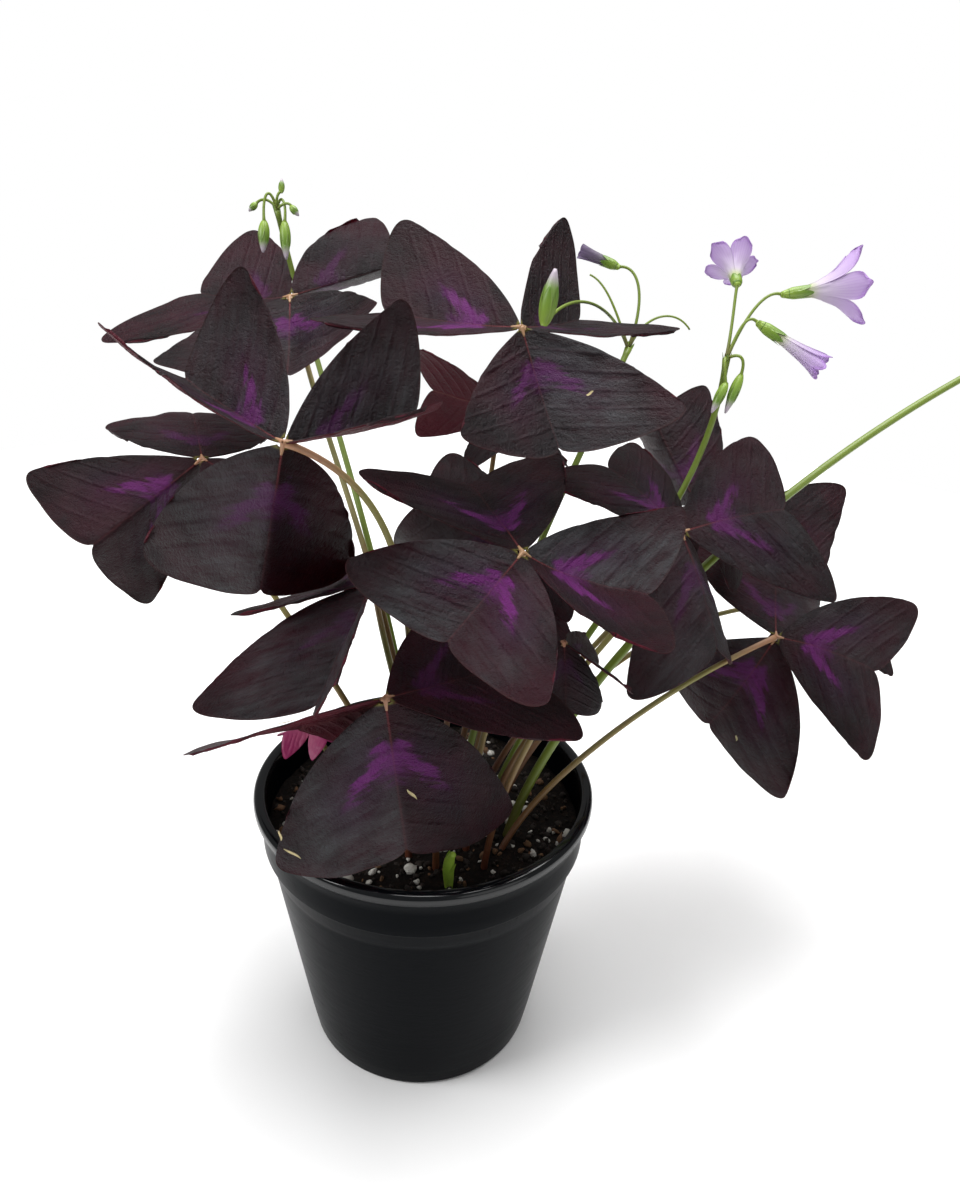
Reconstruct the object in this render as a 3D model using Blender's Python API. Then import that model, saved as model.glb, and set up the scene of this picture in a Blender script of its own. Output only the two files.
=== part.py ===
"""A purple shamrock growing in a round black nursery pot.

The pot stands on z = 0 with its axis on Z. Every leaf is three folded leaflets on one slender stalk,
and the flower stems carry drooping umbels of buds and pale lilac funnels.
Tables are in millimetres and degrees; the meshes are in metres. -Y is the front.
"""

import math
import random
from collections import namedtuple

import bmesh
import bpy
import numpy as np

MM = 0.001
SEAT_GAP = 0.3 * MM

# Pot
POT_HEIGHT = 88 * MM
RIM_RADIUS = 50 * MM
RIM_BEAD = 3.5 * MM
WALL = 1.4 * MM
COLLAR_DEPTH = 16 * MM
COLLAR_RADIUS = 48 * MM
STEP_RADIUS = 46.4 * MM
BASE_RADIUS = 35 * MM
POT_SIDES = 40
DRAIN_HOLES = 6
DRAIN_RADIUS = 4 * MM
DRAIN_RING = 24 * MM

# Soil
SOIL_TOP = 78 * MM
SOIL_BOTTOM = 2.4 * MM
SOIL_RINGS = 4
SOIL_SIDES = 24
SOIL_ROUGHNESS = 0.9 * MM
HOLE_CLEARANCE = 0.45 * MM
STALK_DEPTH = 10 * MM

# Leaves
BLADE_THICKNESS = 0.8 * MM
HUB_RADIUS = 1.5 * MM
STALK_FOOT_RADIUS = 0.95 * MM
STALK_TOP_RADIUS = 0.8 * MM
STALK_SIDES = 6
STALK_RISE = 0.5
STALK_END_GAP = 0.95 * MM
ROOT_OF_LEAFLET = 0.02
NOTCH = 0.72
MARGIN_POLYGON = ((NOTCH, 0.0), (0.81, 0.04), (0.87, 0.32), (0.96, 0.58), (0.93, 0.73), (0.74, 0.60))
EDGE_BULGE = 0.10
SPOKES = (-1.0, -0.86, -0.68, -0.36, 0.0, 0.36, 0.68, 0.86, 1.0)
ALONG = (ROOT_OF_LEAFLET, 0.30, 0.64, 1.0)

# Flowers
PEDUNCLE_TAPER = 0.77
PEDICEL_RADIUS = 0.45 * MM
PEDICEL_OVERLAP = 0.6 * MM
PETALS = 5
SPANS_PER_PETAL = 4
COROLLA_RINGS = 4
PETAL_THICKNESS = 0.6 * MM
BUD_SIDES = 5

# heading 0 is +X and 90 is +Y; pitch lifts the tip; roll lifts the left half; left and right fold the halves down
Leaflet = namedtuple("Leaflet", "heading pitch roll left right size bend cup")
# foot is where the stalk leaves the soil, arrive pulls its far end, and rise is how far up it goes straight
Leaf = namedtuple("Leaf", "name hub reach foot arrive leaflets rise", defaults=(STALK_RISE,))

LEAVES = (
    Leaf("left_front", (-31, -28, 198), 48, (-3, -22), (4, -10, 180), (
        Leaflet(142, 9, -27, -50, -14, 0.95, -20, -24),
        Leaflet(15, 5, 25, -52, -45, 0.84, -12, 0),
        Leaflet(322, -106, 30, 32, 42, 1.20, 0, 8))),
    Leaf("far_left", (-66, 26, 176), 47, (-6, -15), (-48, 12, 130), (
        Leaflet(230, -25, -60, 50, 45, 1.13, 30, -10),
        Leaflet(110, 12, 5, 10, 10, 0.87, 5, 10),
        Leaflet(335, -15, 10, 10, 15, 0.75, 10, 10))),
    Leaf("back_left", (-49, 75, 214), 54, (-1, -11), (-34, 54, 160), (
        Leaflet(145, -12, -10, 5, -25, 1.07, -15, 10),
        Leaflet(28, 14, 62, 15, 84, 0.90, 5, 45),
        Leaflet(280, -30, 10, -35, -20, 1.03, -15, 0))),
    Leaf("top", (22, 20, 217), 50, (8, -6), (43, 52, 168), (
        Leaflet(160, -5, -25, -25, -10, 1.05, -15, -5),
        Leaflet(60, -8, 22, -45, -20, 0.90, -10, -5),
        Leaflet(300, -55, 25, -25, -45, 1.0, -25, 5))),
    Leaf("centre", (24, -21, 171), 46, (13, -18), (23, -17, 130), (
        Leaflet(115, 15, -5, -15, -5, 1.0, 10, 5),
        Leaflet(10, -33, 33, 0, -25, 1.0, -40, -5),
        Leaflet(236, -23, -20, -12, -25, 0.97, -5, -10))),
    Leaf("low_front", (-7, -43, 142), 48, (5, -27), (4, -27, 131.5), (
        Leaflet(305, -75, 28, 28, 10, 1.16, 10, 15),
        Leaflet(34, -4, 0, -30, 5, 0.92, -5, 20),
        Leaflet(150, -36, 26, 5, 10, 0.97, -5, 10))),
    Leaf("low_left", (-14, -5, 154), 52, (2, -19), (-10, -8, 125), (
        Leaflet(250, -30, 0, -65, 0, 1.0, 5, 10),
        Leaflet(148, -22, 5, 0, -10, 0.70, 0, 0),
        Leaflet(12, -12, 0, 15, 15, 0.6, 10, 10))),
    Leaf("right", (70, 18, 163), 47, (18, -12), (54, 8, 125), (
        Leaflet(18, 13, 25, -5, 20, 1.0, 15, 5),
        Leaflet(305, -50, -5, 28, 10, 1.0, 10, 25),
        Leaflet(140, 33, 5, 5, -4, 0.85, 15, 5))),
    Leaf("far_right", (107, 32, 124), 49, (21, -20), (70, 18, 112), (
        Leaflet(331, 5, 34, -12, 0, 0.88, 40, 10),
        Leaflet(217, -50, -40, -15, 30, 1.08, 60, 15),
        Leaflet(80, 15, 15, 5, 25, 0.95, -10, 20))),
    Leaf("back_right", (133, 77, 114), 52, (20, -7), (76, 74, 118), (
        Leaflet(125, 38, 30, 10, -30, 1.1, -30, 0),
        Leaflet(250, -30, 0, 15, 15, 0.5, 10, 15),
        Leaflet(5, -15, 0, 15, 15, 0.66, 10, 15)), rise=0.85),
    Leaf("behind_right", (81, 50, 160), 48, (14, -7), (64, 38, 118), (
        Leaflet(115, 30, -20, 70, 0, 0.95, -20, 50),
        Leaflet(215, -12, 0, 15, 15, 0.6, 10, 15),
        Leaflet(350, -35, 0, 15, 15, 0.6, 15, 15))),
    Leaf("behind_centre", (25, 10, 155), 44, (12, -15), (21, 5, 120), (
        Leaflet(153, 20, -40, 50, 10, 1.03, 0, 40),
        Leaflet(345, -12, 0, 5, 5, 0.5, 15, 20),
        Leaflet(262, -50, 0, 15, 15, 0.75, 15, 20))),
    Leaf("back_centre", (18, 75, 181), 46, (4, -6), (14, 54, 130), (
        Leaflet(165, 10, 60, 0, 0, 0.70, 0, 20),
        Leaflet(285, -5, 0, 15, 15, 0.65, 10, 20),
        Leaflet(55, 20, 0, 20, 20, 0.95, 0, 20))),
    Leaf("small_right", (36, -19, 146), 27, (18, -25), (38, -9, 118), (
        Leaflet(275, -47, 5, 20, 45, 0.87, 30, 45),
        Leaflet(29, -36, 5, -15, -5, 0.76, 5, 0),
        Leaflet(155, -5, -10, 35, 35, 0.6, 0, 30))),
)


# The young leaf is pink and still half folded
YOUNG_LEAF = Leaf("young", (-33, 2, 104), 12, (-10, -8), (-27, -1, 88), (
    Leaflet(200, -10, 0, 25, 25, 1.0, 0, 20),
    Leaflet(80, -10, 0, 25, 25, 0.9, 0, 20),
    Leaflet(310, -10, 0, 25, 25, 0.9, 0, 20)))

# A pedicel springs from the top of the stem towards rise, and ends at end pulled by fall.
# It carries a bud, a calyx under a flower, or nothing, of a length and width in mm and pointing along aim
Pedicel = namedtuple("Pedicel", "rise fall end carries length width aim", defaults=("", 0, 0, (0, 0, 1)))
# leave and arrive pull the stem between its foot and its top, and girth is its radius at the foot
Umbel = namedtuple("Umbel", "name foot leave arrive top girth pedicels")

UMBELS = (
    Umbel("left", (0, -7), (-2, 2, 130), (-47, 97, 188), (-54.5, 88.5, 238), 1.05, (
        Pedicel((-57, 91, 246), (-59, 88, 243), (-58, 85, 234.5), "bud", 10, 3.6, (0, -4, -9)),
        Pedicel((-54, 90, 243), (-51, 88, 242), (-51.6, 85, 234.6), "bud", 12, 3.4, (1, -5, -11)),
        Pedicel((-56, 88, 241), (-59, 88.5, 242), (-61, 87.6, 239.4), "bud", 3.6, 2, (-2, -1, -2)),
        Pedicel((-54.5, 87, 242), (-53.8, 88, 243), (-53, 89, 243.5), "bud", 4.5, 1.8, (0, 1, 2)),
        Pedicel((-53, 87, 240), (-50, 87, 241), (-49.5, 86.8, 239), "bud", 4, 2.2, (2, -1, -2)))),
    Umbel("middle", (9, -11), (11, -4, 130), (40, 30, 175), (55, 55, 206), 1.1, (
        Pedicel((60, 60, 221), (57, 66, 229), (51, 65.4, 227.8), "calyx", 6, 3.2, (-6, 1, 2)),
        Pedicel((50.4, 60.3, 218), (47, 63, 224), (42.7, 64.3, 225.4)),
        Pedicel((48.4, 51.8, 220.3), (35.5, 32.5, 226.3), (27.5, 14.5, 219), "bud", 14, 4.6, (2, 2, 13)),
        Pedicel((59.6, 60, 216.3), (68.8, 60.5, 217.6), (73, 57.8, 211.8)))),
    Umbel("right", (16, -10), (21, -8, 125), (84, 49, 150), (81, 41, 207), 1.1, (
        Pedicel((82.6, 46, 218), (82.5, 48, 222), (83.3, 50.5, 226), "calyx", 4, 3.4, (0, 9, 4)),
        Pedicel((84, 44, 214), (90, 50, 226), (96.2, 49.2, 224), "calyx", 9, 3.6, (9.6, 0, 1.6)),
        Pedicel((83.8, 44, 214), (86, 46, 220), (89.5, 45, 216.5), "calyx", 9, 3.6, (9, -3, -5)),
        Pedicel((84, 38, 210), (86, 38, 208), (85, 38, 203), "bud", 12, 3, (-5, -6, -12)),
        Pedicel((79, 37, 209), (80, 36, 205), (80.5, 35.5, 201), "bud", 9.5, 2.8, (-4, -4, -8)))),
    Umbel("outer", (23, -14), (29, -4, 120), (108, 52, 178), (188, 76, 211.3), 1.38, (
        Pedicel((192, 78, 216), (197, 79, 217), (198.3, 79.2, 211), "bud", 9, 2.9, (0, 0, -1)),
        Pedicel((189, 80, 216), (191, 85, 218), (192, 87, 212), "bud", 8, 2.6, (1, 1, -6)),
        Pedicel((190, 74, 215), (194, 71, 216), (195, 70, 210), "bud", 6, 2.4, (1, -1, -6)))),
)

# length runs from calyx to mouth and mouth is its radius there
Flower = namedtuple("Flower", "name umbel pedicel length mouth lobing")
FLOWERS = (
    Flower("wilted", "middle", 0, 7, 1.8, 0.2),
    Flower("seen_from_behind", "right", 0, 10, 8.0, 0.8),
    Flower("open", "right", 1, 13, 11, 0.8),
    Flower("half_closed", "right", 2, 14, 3.6, 0.5),
)


SPROUT = ((9, -34, 76), (9, -34, 82), (8, -33, 86), (10, -34, 89))


def clear_scene():
    """Removes whatever the file starts with."""
    for item in list(bpy.data.objects):
        bpy.data.objects.remove(item, do_unlink=True)


def material(name, colour, roughness):
    """A plain Principled finish."""
    finish = bpy.data.materials.new(name)
    finish.use_nodes = True
    shader = finish.node_tree.nodes["Principled BSDF"]
    shader.inputs["Base Color"].default_value = (*colour, 1.0)
    shader.inputs["Roughness"].default_value = roughness
    shader.inputs["Metallic"].default_value = 0.0
    return finish


def add_object(name, mesh, finish):
    """Links a mesh to the scene as a named object with one finish."""
    item = bpy.data.objects.new(name, mesh)
    bpy.context.scene.collection.objects.link(item)
    mesh.materials.append(finish)
    return item


def mesh_from(name, points, faces):
    """A mesh from arrays of points and faces, with its faces turned outwards."""
    mesh = bpy.data.meshes.new(name)
    mesh.from_pydata([tuple(p) for p in points], [], [tuple(int(i) for i in f) for f in faces])
    work = bmesh.new()
    work.from_mesh(mesh)
    bmesh.ops.recalc_face_normals(work, faces=work.faces)
    work.to_mesh(mesh)
    work.free()
    mesh.shade_smooth()
    return mesh


def leaflet_directions(leaflet):
    """The leaflet's midrib, left and up directions."""
    heading = math.radians(leaflet.heading)
    pitch = math.radians(leaflet.pitch)
    roll = math.radians(leaflet.roll)
    midrib = np.array((math.cos(pitch) * math.cos(heading), math.cos(pitch) * math.sin(heading), math.sin(pitch)))
    level = np.array((-math.sin(heading), math.cos(heading), 0.0))
    above = np.cross(midrib, level)
    left = math.cos(roll) * level + math.sin(roll) * above
    up = math.cos(roll) * above - math.sin(roll) * level
    return np.array((midrib, left, up))


def distal_margin(across):
    """The flat margin from the notch (0) round the corner to the outer edge (1): one Bezier curve."""
    degree = len(MARGIN_POLYGON) - 1
    point = 0.0
    for k, corner in enumerate(MARGIN_POLYGON):
        weight = math.comb(degree, k) * across**k * (1 - across) ** (degree - k)
        point = point + weight[..., None] * np.array(corner)
    return point


def leaflet_surface(leaf, leaflet, along, across):
    """Points of a leaflet, in metres: along runs hub to margin (0..1), across from the right edge to the left (-1..1).

    Flat, a point lies on the straight spoke from the hub to the margin, pushed out by a parabola near the edges.
    Each half then turns down from the midrib by its fold and curls on by the cup, and the midrib arches by the bend.
    """
    margin = distal_margin(np.abs(across))
    bulge = EDGE_BULGE * np.abs(across) ** 1.5 * 4 * along * (1 - along)
    x = along * margin[..., 0] - bulge * margin[..., 1]
    y = along * margin[..., 1] + bulge * margin[..., 0]
    fold = np.radians(np.where(across >= 0, leaflet.left, leaflet.right))
    curl = math.radians(leaflet.cup or 0.1) / 0.6
    side = (np.sin(fold + curl * y) - np.sin(fold)) / curl
    drop = (np.cos(fold + curl * y) - np.cos(fold)) / curl
    arch = math.radians(leaflet.bend or 0.1) / 0.8
    turn = arch * x
    forward = np.sin(turn) / arch + drop * np.sin(turn)
    lift = (np.cos(turn) - 1) / arch + drop * np.cos(turn)
    local = np.stack((forward, np.sign(across) * side, lift), axis=-1)
    reach = leaf.reach * leaflet.size
    return (np.array(leaf.hub) + reach * local @ leaflet_directions(leaflet)) * MM


def thin_solid(name, middle, thickness):
    """A closed sheet round a grid of points, with both faces split into triangles alike."""
    rows, columns = middle.shape[:2]
    down = np.gradient(middle, axis=0)
    over = np.gradient(middle, axis=1)
    normal = np.cross(down, over)
    normal /= np.linalg.norm(normal, axis=-1, keepdims=True)
    offset = normal * thickness / 2
    points = np.concatenate(((middle + offset).reshape(-1, 3), (middle - offset).reshape(-1, 3)))
    index = np.arange(rows * columns).reshape(rows, columns)
    a, b = index[:-1, :-1].ravel(), index[1:, :-1].ravel()
    c, d = index[1:, 1:].ravel(), index[:-1, 1:].ravel()
    top = np.concatenate((np.stack((a, b, c), 1), np.stack((a, c, d), 1)))
    rim = np.concatenate((index[:-1, 0], index[-1, :-1], index[:0:-1, -1], index[0, :0:-1]))
    after = np.roll(rim, -1)
    below = rows * columns
    wall = np.concatenate((np.stack((rim, rim + below, after + below), 1), np.stack((rim, after + below, after), 1)))
    return mesh_from(name, points, np.concatenate((top, top[:, ::-1] + below, wall)))


def bezier(corners, steps):
    """Points along one cubic curve."""
    t = np.linspace(0.0, 1.0, steps + 1)[:, None]
    a, b, c, d = (np.array(corner, float) for corner in corners)
    return (1 - t) ** 3 * a + 3 * (1 - t) ** 2 * t * b + 3 * (1 - t) * t**2 * c + t**3 * d


def tube(name, path, radii, sides):
    """A closed round rod along a path, its rings carried on without twist."""
    path = np.asarray(path)
    radii = np.asarray(radii)
    tangent = np.gradient(path, axis=0)
    tangent /= np.linalg.norm(tangent, axis=1, keepdims=True)
    side = np.cross(tangent[0], (0.3, 1.0, 0.2))
    side /= np.linalg.norm(side)
    points = []
    angles = np.linspace(0.0, 2 * math.pi, sides, endpoint=False)
    for centre, along, radius in zip(path, tangent, radii):
        side = side - along * side.dot(along)
        side /= np.linalg.norm(side)
        other = np.cross(along, side)
        ring = np.outer(np.cos(angles), side) + np.outer(np.sin(angles), other)
        points.extend(centre + radius * ring)
    faces = []
    for ring in range(len(path) - 1):
        for k in range(sides):
            a = ring * sides + k
            b = ring * sides + (k + 1) % sides
            faces.append((a, b, b + sides, a + sides))
    faces.append(tuple(range(sides - 1, -1, -1)))
    last = (len(path) - 1) * sides
    faces.append(tuple(range(last, last + sides)))
    return mesh_from(name, points, faces)


def fuse(name, meshes, finish):
    """One body from overlapping closed meshes."""
    parts = bpy.data.collections.new(name + "_parts")
    bpy.context.scene.collection.children.link(parts)
    for mesh in meshes[1:]:
        parts.objects.link(bpy.data.objects.new(mesh.name, mesh))
    body = add_object(name, meshes[0], finish)
    union = body.modifiers.new("union", "BOOLEAN")
    union.operation = "UNION"
    union.operand_type = "COLLECTION"
    union.collection = parts
    union.solver = "MANIFOLD"
    shape = bpy.data.meshes.new_from_object(body.evaluated_get(bpy.context.evaluated_depsgraph_get()))
    body.modifiers.clear()
    body.data = shape
    shape.name = name
    shape.materials.clear()
    shape.materials.append(finish)
    for item in list(parts.objects):
        bpy.data.objects.remove(item, do_unlink=True)
    bpy.data.collections.remove(parts)
    return body


def ball(name, centre, radius):
    """A small faceted ball."""
    work = bmesh.new()
    bmesh.ops.create_icosphere(work, subdivisions=1, radius=radius)
    bmesh.ops.translate(work, vec=centre, verts=work.verts)
    mesh = bpy.data.meshes.new(name)
    work.to_mesh(mesh)
    work.free()
    return mesh


def stalk_path(leaf, steps=10):
    """The leaf stalk: straight up out of the soil, then arching outwards to end just under the hub."""
    hub = np.array(leaf.hub, float) * MM
    foot = np.array((leaf.foot[0] * MM, leaf.foot[1] * MM, SOIL_TOP - STALK_DEPTH))
    leave = foot + np.array((0.0, 0.0, leaf.rise * (hub[2] - foot[2])))
    arrive = np.array(leaf.arrive, float) * MM
    slope = (hub - arrive) / np.linalg.norm(hub - arrive)
    end = hub - slope * (HUB_RADIUS + STALK_END_GAP)
    return bezier((foot, leave, arrive, end), steps)


def add_leaf(leaf, purple, green):
    """Three leaflets fused at the hub, and the stalk that carries them."""
    across, along = np.meshgrid(SPOKES, ALONG)
    meshes = [ball(leaf.name + "_hub", np.array(leaf.hub) * MM, HUB_RADIUS)]
    for number, leaflet in enumerate(leaf.leaflets):
        middle = leaflet_surface(leaf, leaflet, along, across)
        meshes.append(thin_solid(f"{leaf.name}_{number}", middle, BLADE_THICKNESS))
    fuse(f"leaf_{leaf.name}_blades", meshes, purple)
    path = stalk_path(leaf)
    radii = np.linspace(STALK_FOOT_RADIUS, STALK_TOP_RADIUS, len(path))
    add_object(f"leaf_{leaf.name}_stalk", tube(f"leaf_{leaf.name}_stalk", path, radii, STALK_SIDES), green)


def pedicel_path(umbel, pedicel, steps=4):
    """The curve of one flower stalk, in metres."""
    return bezier([np.array(point, float) * MM for point in (umbel.top, pedicel.rise, pedicel.fall, pedicel.end)], steps)


def peduncle_path(umbel, steps=11):
    """The curve of the stem that carries an umbel, in metres."""
    foot = (*umbel.foot, (SOIL_TOP - STALK_DEPTH) / MM)
    return bezier([np.array(point, float) * MM for point in (foot, umbel.leave, umbel.arrive, umbel.top)], steps)


def spindle(name, start, axis, length, radius, blunt=0.0):
    """A bud or a calyx: a closed spindle along an axis, cut off flat at its far end where it is blunt."""
    shares = np.array((0.0, 0.18, 0.45, 0.75, 1.0))
    widths = radius * np.sin(np.pi * (0.08 + 0.86 * shares)) ** 0.8
    widths = widths * (1 - blunt) + blunt * np.interp(shares, (0, 0.4, 1), (0.35, 0.9, 1.0)) * radius
    path = start + np.outer(shares * length, axis)
    return tube(name, path, widths, BUD_SIDES)


def pedicel_aim(pedicel):
    """The unit vector along which a bud, calyx or flower points."""
    return np.array(pedicel.aim) / np.linalg.norm(pedicel.aim)


def peduncle_radius(umbel):
    """The radius of an umbel's stem at its foot, in metres."""
    return umbel.girth * MM


def add_umbel(umbel, green):
    """One stem with its pedicels, buds and calyces, fused in one green body."""
    path = peduncle_path(umbel)
    foot_radius = peduncle_radius(umbel)
    top_radius = PEDUNCLE_TAPER * foot_radius
    meshes = [tube(umbel.name + "_stem", path, np.linspace(foot_radius, top_radius, len(path)), STALK_SIDES)]
    meshes.append(ball(umbel.name + "_top", path[-1], 1.2 * top_radius))
    for number, pedicel in enumerate(umbel.pedicels):
        curve = pedicel_path(umbel, pedicel)
        meshes.append(tube(f"{umbel.name}_pedicel_{number}", curve, [PEDICEL_RADIUS] * len(curve), 4))
        if pedicel.carries:
            axis = pedicel_aim(pedicel)
            start = curve[-1] - axis * PEDICEL_OVERLAP
            blunt = 1.0 if pedicel.carries == "calyx" else 0.0
            name = f"{umbel.name}_{pedicel.carries}_{number}"
            meshes.append(spindle(name, start, axis, pedicel.length * MM, pedicel.width / 2 * MM, blunt))
    fuse(f"umbel_{umbel.name}_stem", meshes, green)


def add_flower(flower, lilac):
    """Five petals joined in a funnel: the radius widens with a power curve and the rim dips between the lobes."""
    umbel = next(item for item in UMBELS if item.name == flower.umbel)
    pedicel = umbel.pedicels[flower.pedicel]
    axis = pedicel_aim(pedicel)
    base = np.array(pedicel.end) * MM + axis * (pedicel.length * MM - PEDICEL_OVERLAP + SEAT_GAP)
    side = np.cross(axis, (0.0, 0.2, 1.0))
    side /= np.linalg.norm(side)
    other = np.cross(axis, side)
    sides = PETALS * SPANS_PER_PETAL
    angles = np.linspace(0.0, 2 * math.pi, sides, endpoint=False)
    lobe = np.abs(np.cos(PETALS * angles / 2)) ** 0.7
    points = []
    for wall in (0.0, 1.0):
        shares = np.linspace(0.0, 1.0, COROLLA_RINGS)
        if wall:
            shares = shares[::-1]
        for share in shares:
            width = 1.2 + (flower.mouth - 1.2) * share**1.7
            radius = width * (1 - flower.lobing * 0.45 * share**3 * (1 - lobe)) * MM - wall * PETAL_THICKNESS
            height = flower.length * share * (1 - flower.lobing * 0.28 * share**3 * (1 - lobe)) * MM
            height = height + wall * PETAL_THICKNESS * (0.8 if share == 0 else 0.3)
            ring = base + np.outer(radius * np.cos(angles), side) + np.outer(radius * np.sin(angles), other)
            points.extend(ring + np.outer(height, axis))
    faces = []
    rings = 2 * COROLLA_RINGS
    for ring in range(rings - 1):
        for k in range(sides):
            a = ring * sides + k
            b = ring * sides + (k + 1) % sides
            faces.append((a, b, b + sides))
            faces.append((a, b + sides, a + sides))
    faces.append(tuple(range(sides)))
    faces.append(tuple(range((rings - 1) * sides, rings * sides)))
    name = f"flower_{flower.name}"
    add_object(name, mesh_from(name, points, faces), lilac)


def add_sprout(green):
    """The short green shoot beside the crown."""
    path = bezier([np.array(point, float) * MM for point in SPROUT], 6)
    widths = np.array((1.0, 1.3, 1.6, 1.7, 1.4, 1.0, 0.5)) * MM
    add_object("sprout", tube("sprout", path, widths, 7), green)
    return path, widths[:3].max()


def turned(name, profile, sides):
    """A closed body turned round Z from (radius, height) points; a radius of 0 is a pole."""
    angles = np.linspace(0.0, 2 * math.pi, sides, endpoint=False)
    points = []
    rings = []
    for radius, height in profile:
        start = len(points)
        if radius == 0:
            points.append((0.0, 0.0, height))
            rings.append([start] * sides)
        else:
            points.extend((radius * math.cos(a), radius * math.sin(a), height) for a in angles)
            rings.append(list(range(start, start + sides)))
    faces = []
    for low, high in zip(rings, rings[1:]):
        for k in range(sides):
            corners = (low[k], low[(k + 1) % sides], high[(k + 1) % sides], high[k])
            faces.append(tuple(dict.fromkeys(corners)))
    return mesh_from(name, points, faces)


def cut(body, cutters):
    """Cuts one joined guide mesh out of a body."""
    guide = bpy.data.objects.new(body.name + "_cutter", cutters)
    bpy.context.scene.collection.objects.link(guide)
    guide.hide_render = True
    guide.display_type = "WIRE"
    holes = body.modifiers.new("holes", "BOOLEAN")
    holes.operation = "DIFFERENCE"
    holes.object = guide


def joined(name, meshes):
    """Several separate closed meshes in one mesh, as a guide for a cut."""
    work = bmesh.new()
    for mesh in meshes:
        work.from_mesh(mesh)
    whole = bpy.data.meshes.new(name)
    work.to_mesh(whole)
    work.free()
    return whole


def cylinder(name, foot, top, radius, sides):
    """A plain closed cylinder between two points."""
    return tube(name, np.array((foot, top)), (radius, radius), sides)


def add_pot(black):
    """The nursery pot: a flat floor with drainage holes, a tapered wall, a step, a collar and a rolled rim."""
    step = POT_HEIGHT - COLLAR_DEPTH
    inner = WALL
    profile = (
        (0.0, 0.0),
        (BASE_RADIUS - 1.5 * MM, 0.0),
        (BASE_RADIUS, 1.5 * MM),
        (STEP_RADIUS, step),
        (COLLAR_RADIUS - 0.4 * MM, step + 0.8 * MM),
        (COLLAR_RADIUS, POT_HEIGHT - RIM_BEAD - 1.0 * MM),
        (RIM_RADIUS, POT_HEIGHT - RIM_BEAD),
        (RIM_RADIUS, POT_HEIGHT - 1.0 * MM),
        (RIM_RADIUS - 1.0 * MM, POT_HEIGHT),
        (COLLAR_RADIUS - inner + 0.4 * MM, POT_HEIGHT),
        (COLLAR_RADIUS - inner, POT_HEIGHT - 1.0 * MM),
        (COLLAR_RADIUS - inner - 0.4 * MM, step + 0.8 * MM),
        (STEP_RADIUS - inner, step),
        (BASE_RADIUS - inner, 2.0 * MM),
        (0.0, 2.0 * MM),
    )
    pot = add_object("pot", turned("pot", profile, POT_SIDES), black)
    drills = []
    for k in range(DRAIN_HOLES):
        angle = 2 * math.pi * (k + 0.5) / DRAIN_HOLES
        x, y = DRAIN_RING * math.cos(angle), DRAIN_RING * math.sin(angle)
        drills.append(cylinder(f"drain_{k}", (x, y, -2 * MM), (x, y, 2.2 * MM), DRAIN_RADIUS, 12))
    cut(pot, joined("drains", drills))


def add_soil(brown, stems):
    """The potting mix: a plug that fills the pot, gently heaped and crumbly on top, with a plain hole for each stem."""
    dice = random.Random(4)
    clear = SEAT_GAP
    step = POT_HEIGHT - COLLAR_DEPTH
    edge = COLLAR_RADIUS - WALL - 0.4 * MM - clear
    profile = [
        (0.0, SOIL_BOTTOM),
        (BASE_RADIUS - WALL - clear - 0.3 * MM, SOIL_BOTTOM),
        (STEP_RADIUS - WALL - clear, step),
        (edge, step + 1.4 * MM),
        (edge, SOIL_TOP - 1.5 * MM),
    ]
    for ring in range(SOIL_RINGS, 0, -1):
        share = ring / SOIL_RINGS
        profile.append(((edge - 1.5 * MM) * share, SOIL_TOP - 1.2 * MM * share**3))
    profile.append((0.0, SOIL_TOP))
    mesh = turned("soil", profile, SOIL_SIDES)
    for vertex in mesh.vertices:
        if vertex.co.z > SOIL_TOP - 1.4 * MM:
            vertex.co.z += dice.uniform(-SOIL_ROUGHNESS, SOIL_ROUGHNESS)
    soil = add_object("soil", mesh, brown)
    drills = []
    for number, (path, radius) in enumerate(stems):
        below = path[0] - (path[1] - path[0]) / np.linalg.norm(path[1] - path[0]) * SEAT_GAP
        above = next(k for k, point in enumerate(path) if point[2] > SOIL_TOP + 2 * MM)
        inside = [below, *path[: above + 1]]
        drills.append(tube(f"drill_{number}", inside, [radius + HOLE_CLEARANCE] * len(inside), 6))
    cut(soil, joined("stem_holes", drills))


def main():
    clear_scene()
    leaf_purple = material("leaf_purple", (0.045, 0.012, 0.035), 0.45)
    young_pink = material("young_pink", (0.45, 0.08, 0.2), 0.45)
    stalk_green = material("stalk_green", (0.35, 0.33, 0.10), 0.5)
    flower_green = material("flower_green", (0.25, 0.42, 0.07), 0.5)
    petal_lilac = material("petal_lilac", (0.72, 0.55, 0.80), 0.6)
    pot_black = material("pot_black", (0.012, 0.013, 0.015), 0.35)
    soil_brown = material("soil_brown", (0.03, 0.02, 0.014), 0.95)
    stems = []
    for leaf in LEAVES:
        add_leaf(leaf, leaf_purple, stalk_green)
        stems.append((stalk_path(leaf), STALK_FOOT_RADIUS))
    add_leaf(YOUNG_LEAF, young_pink, stalk_green)
    stems.append((stalk_path(YOUNG_LEAF), STALK_FOOT_RADIUS))
    for umbel in UMBELS:
        add_umbel(umbel, flower_green)
        stems.append((peduncle_path(umbel), peduncle_radius(umbel)))
    for flower in FLOWERS:
        add_flower(flower, petal_lilac)
    stems.append(add_sprout(flower_green))
    add_pot(pot_black)
    add_soil(soil_brown, stems)


main()
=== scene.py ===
"""A purple shamrock in its black nursery pot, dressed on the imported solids.

Tables are in millimetres and degrees, and the meshes in metres. -Y is the front.
"""

import math
from collections import namedtuple

import bpy
import numpy as np
from mathutils import Matrix


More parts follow.
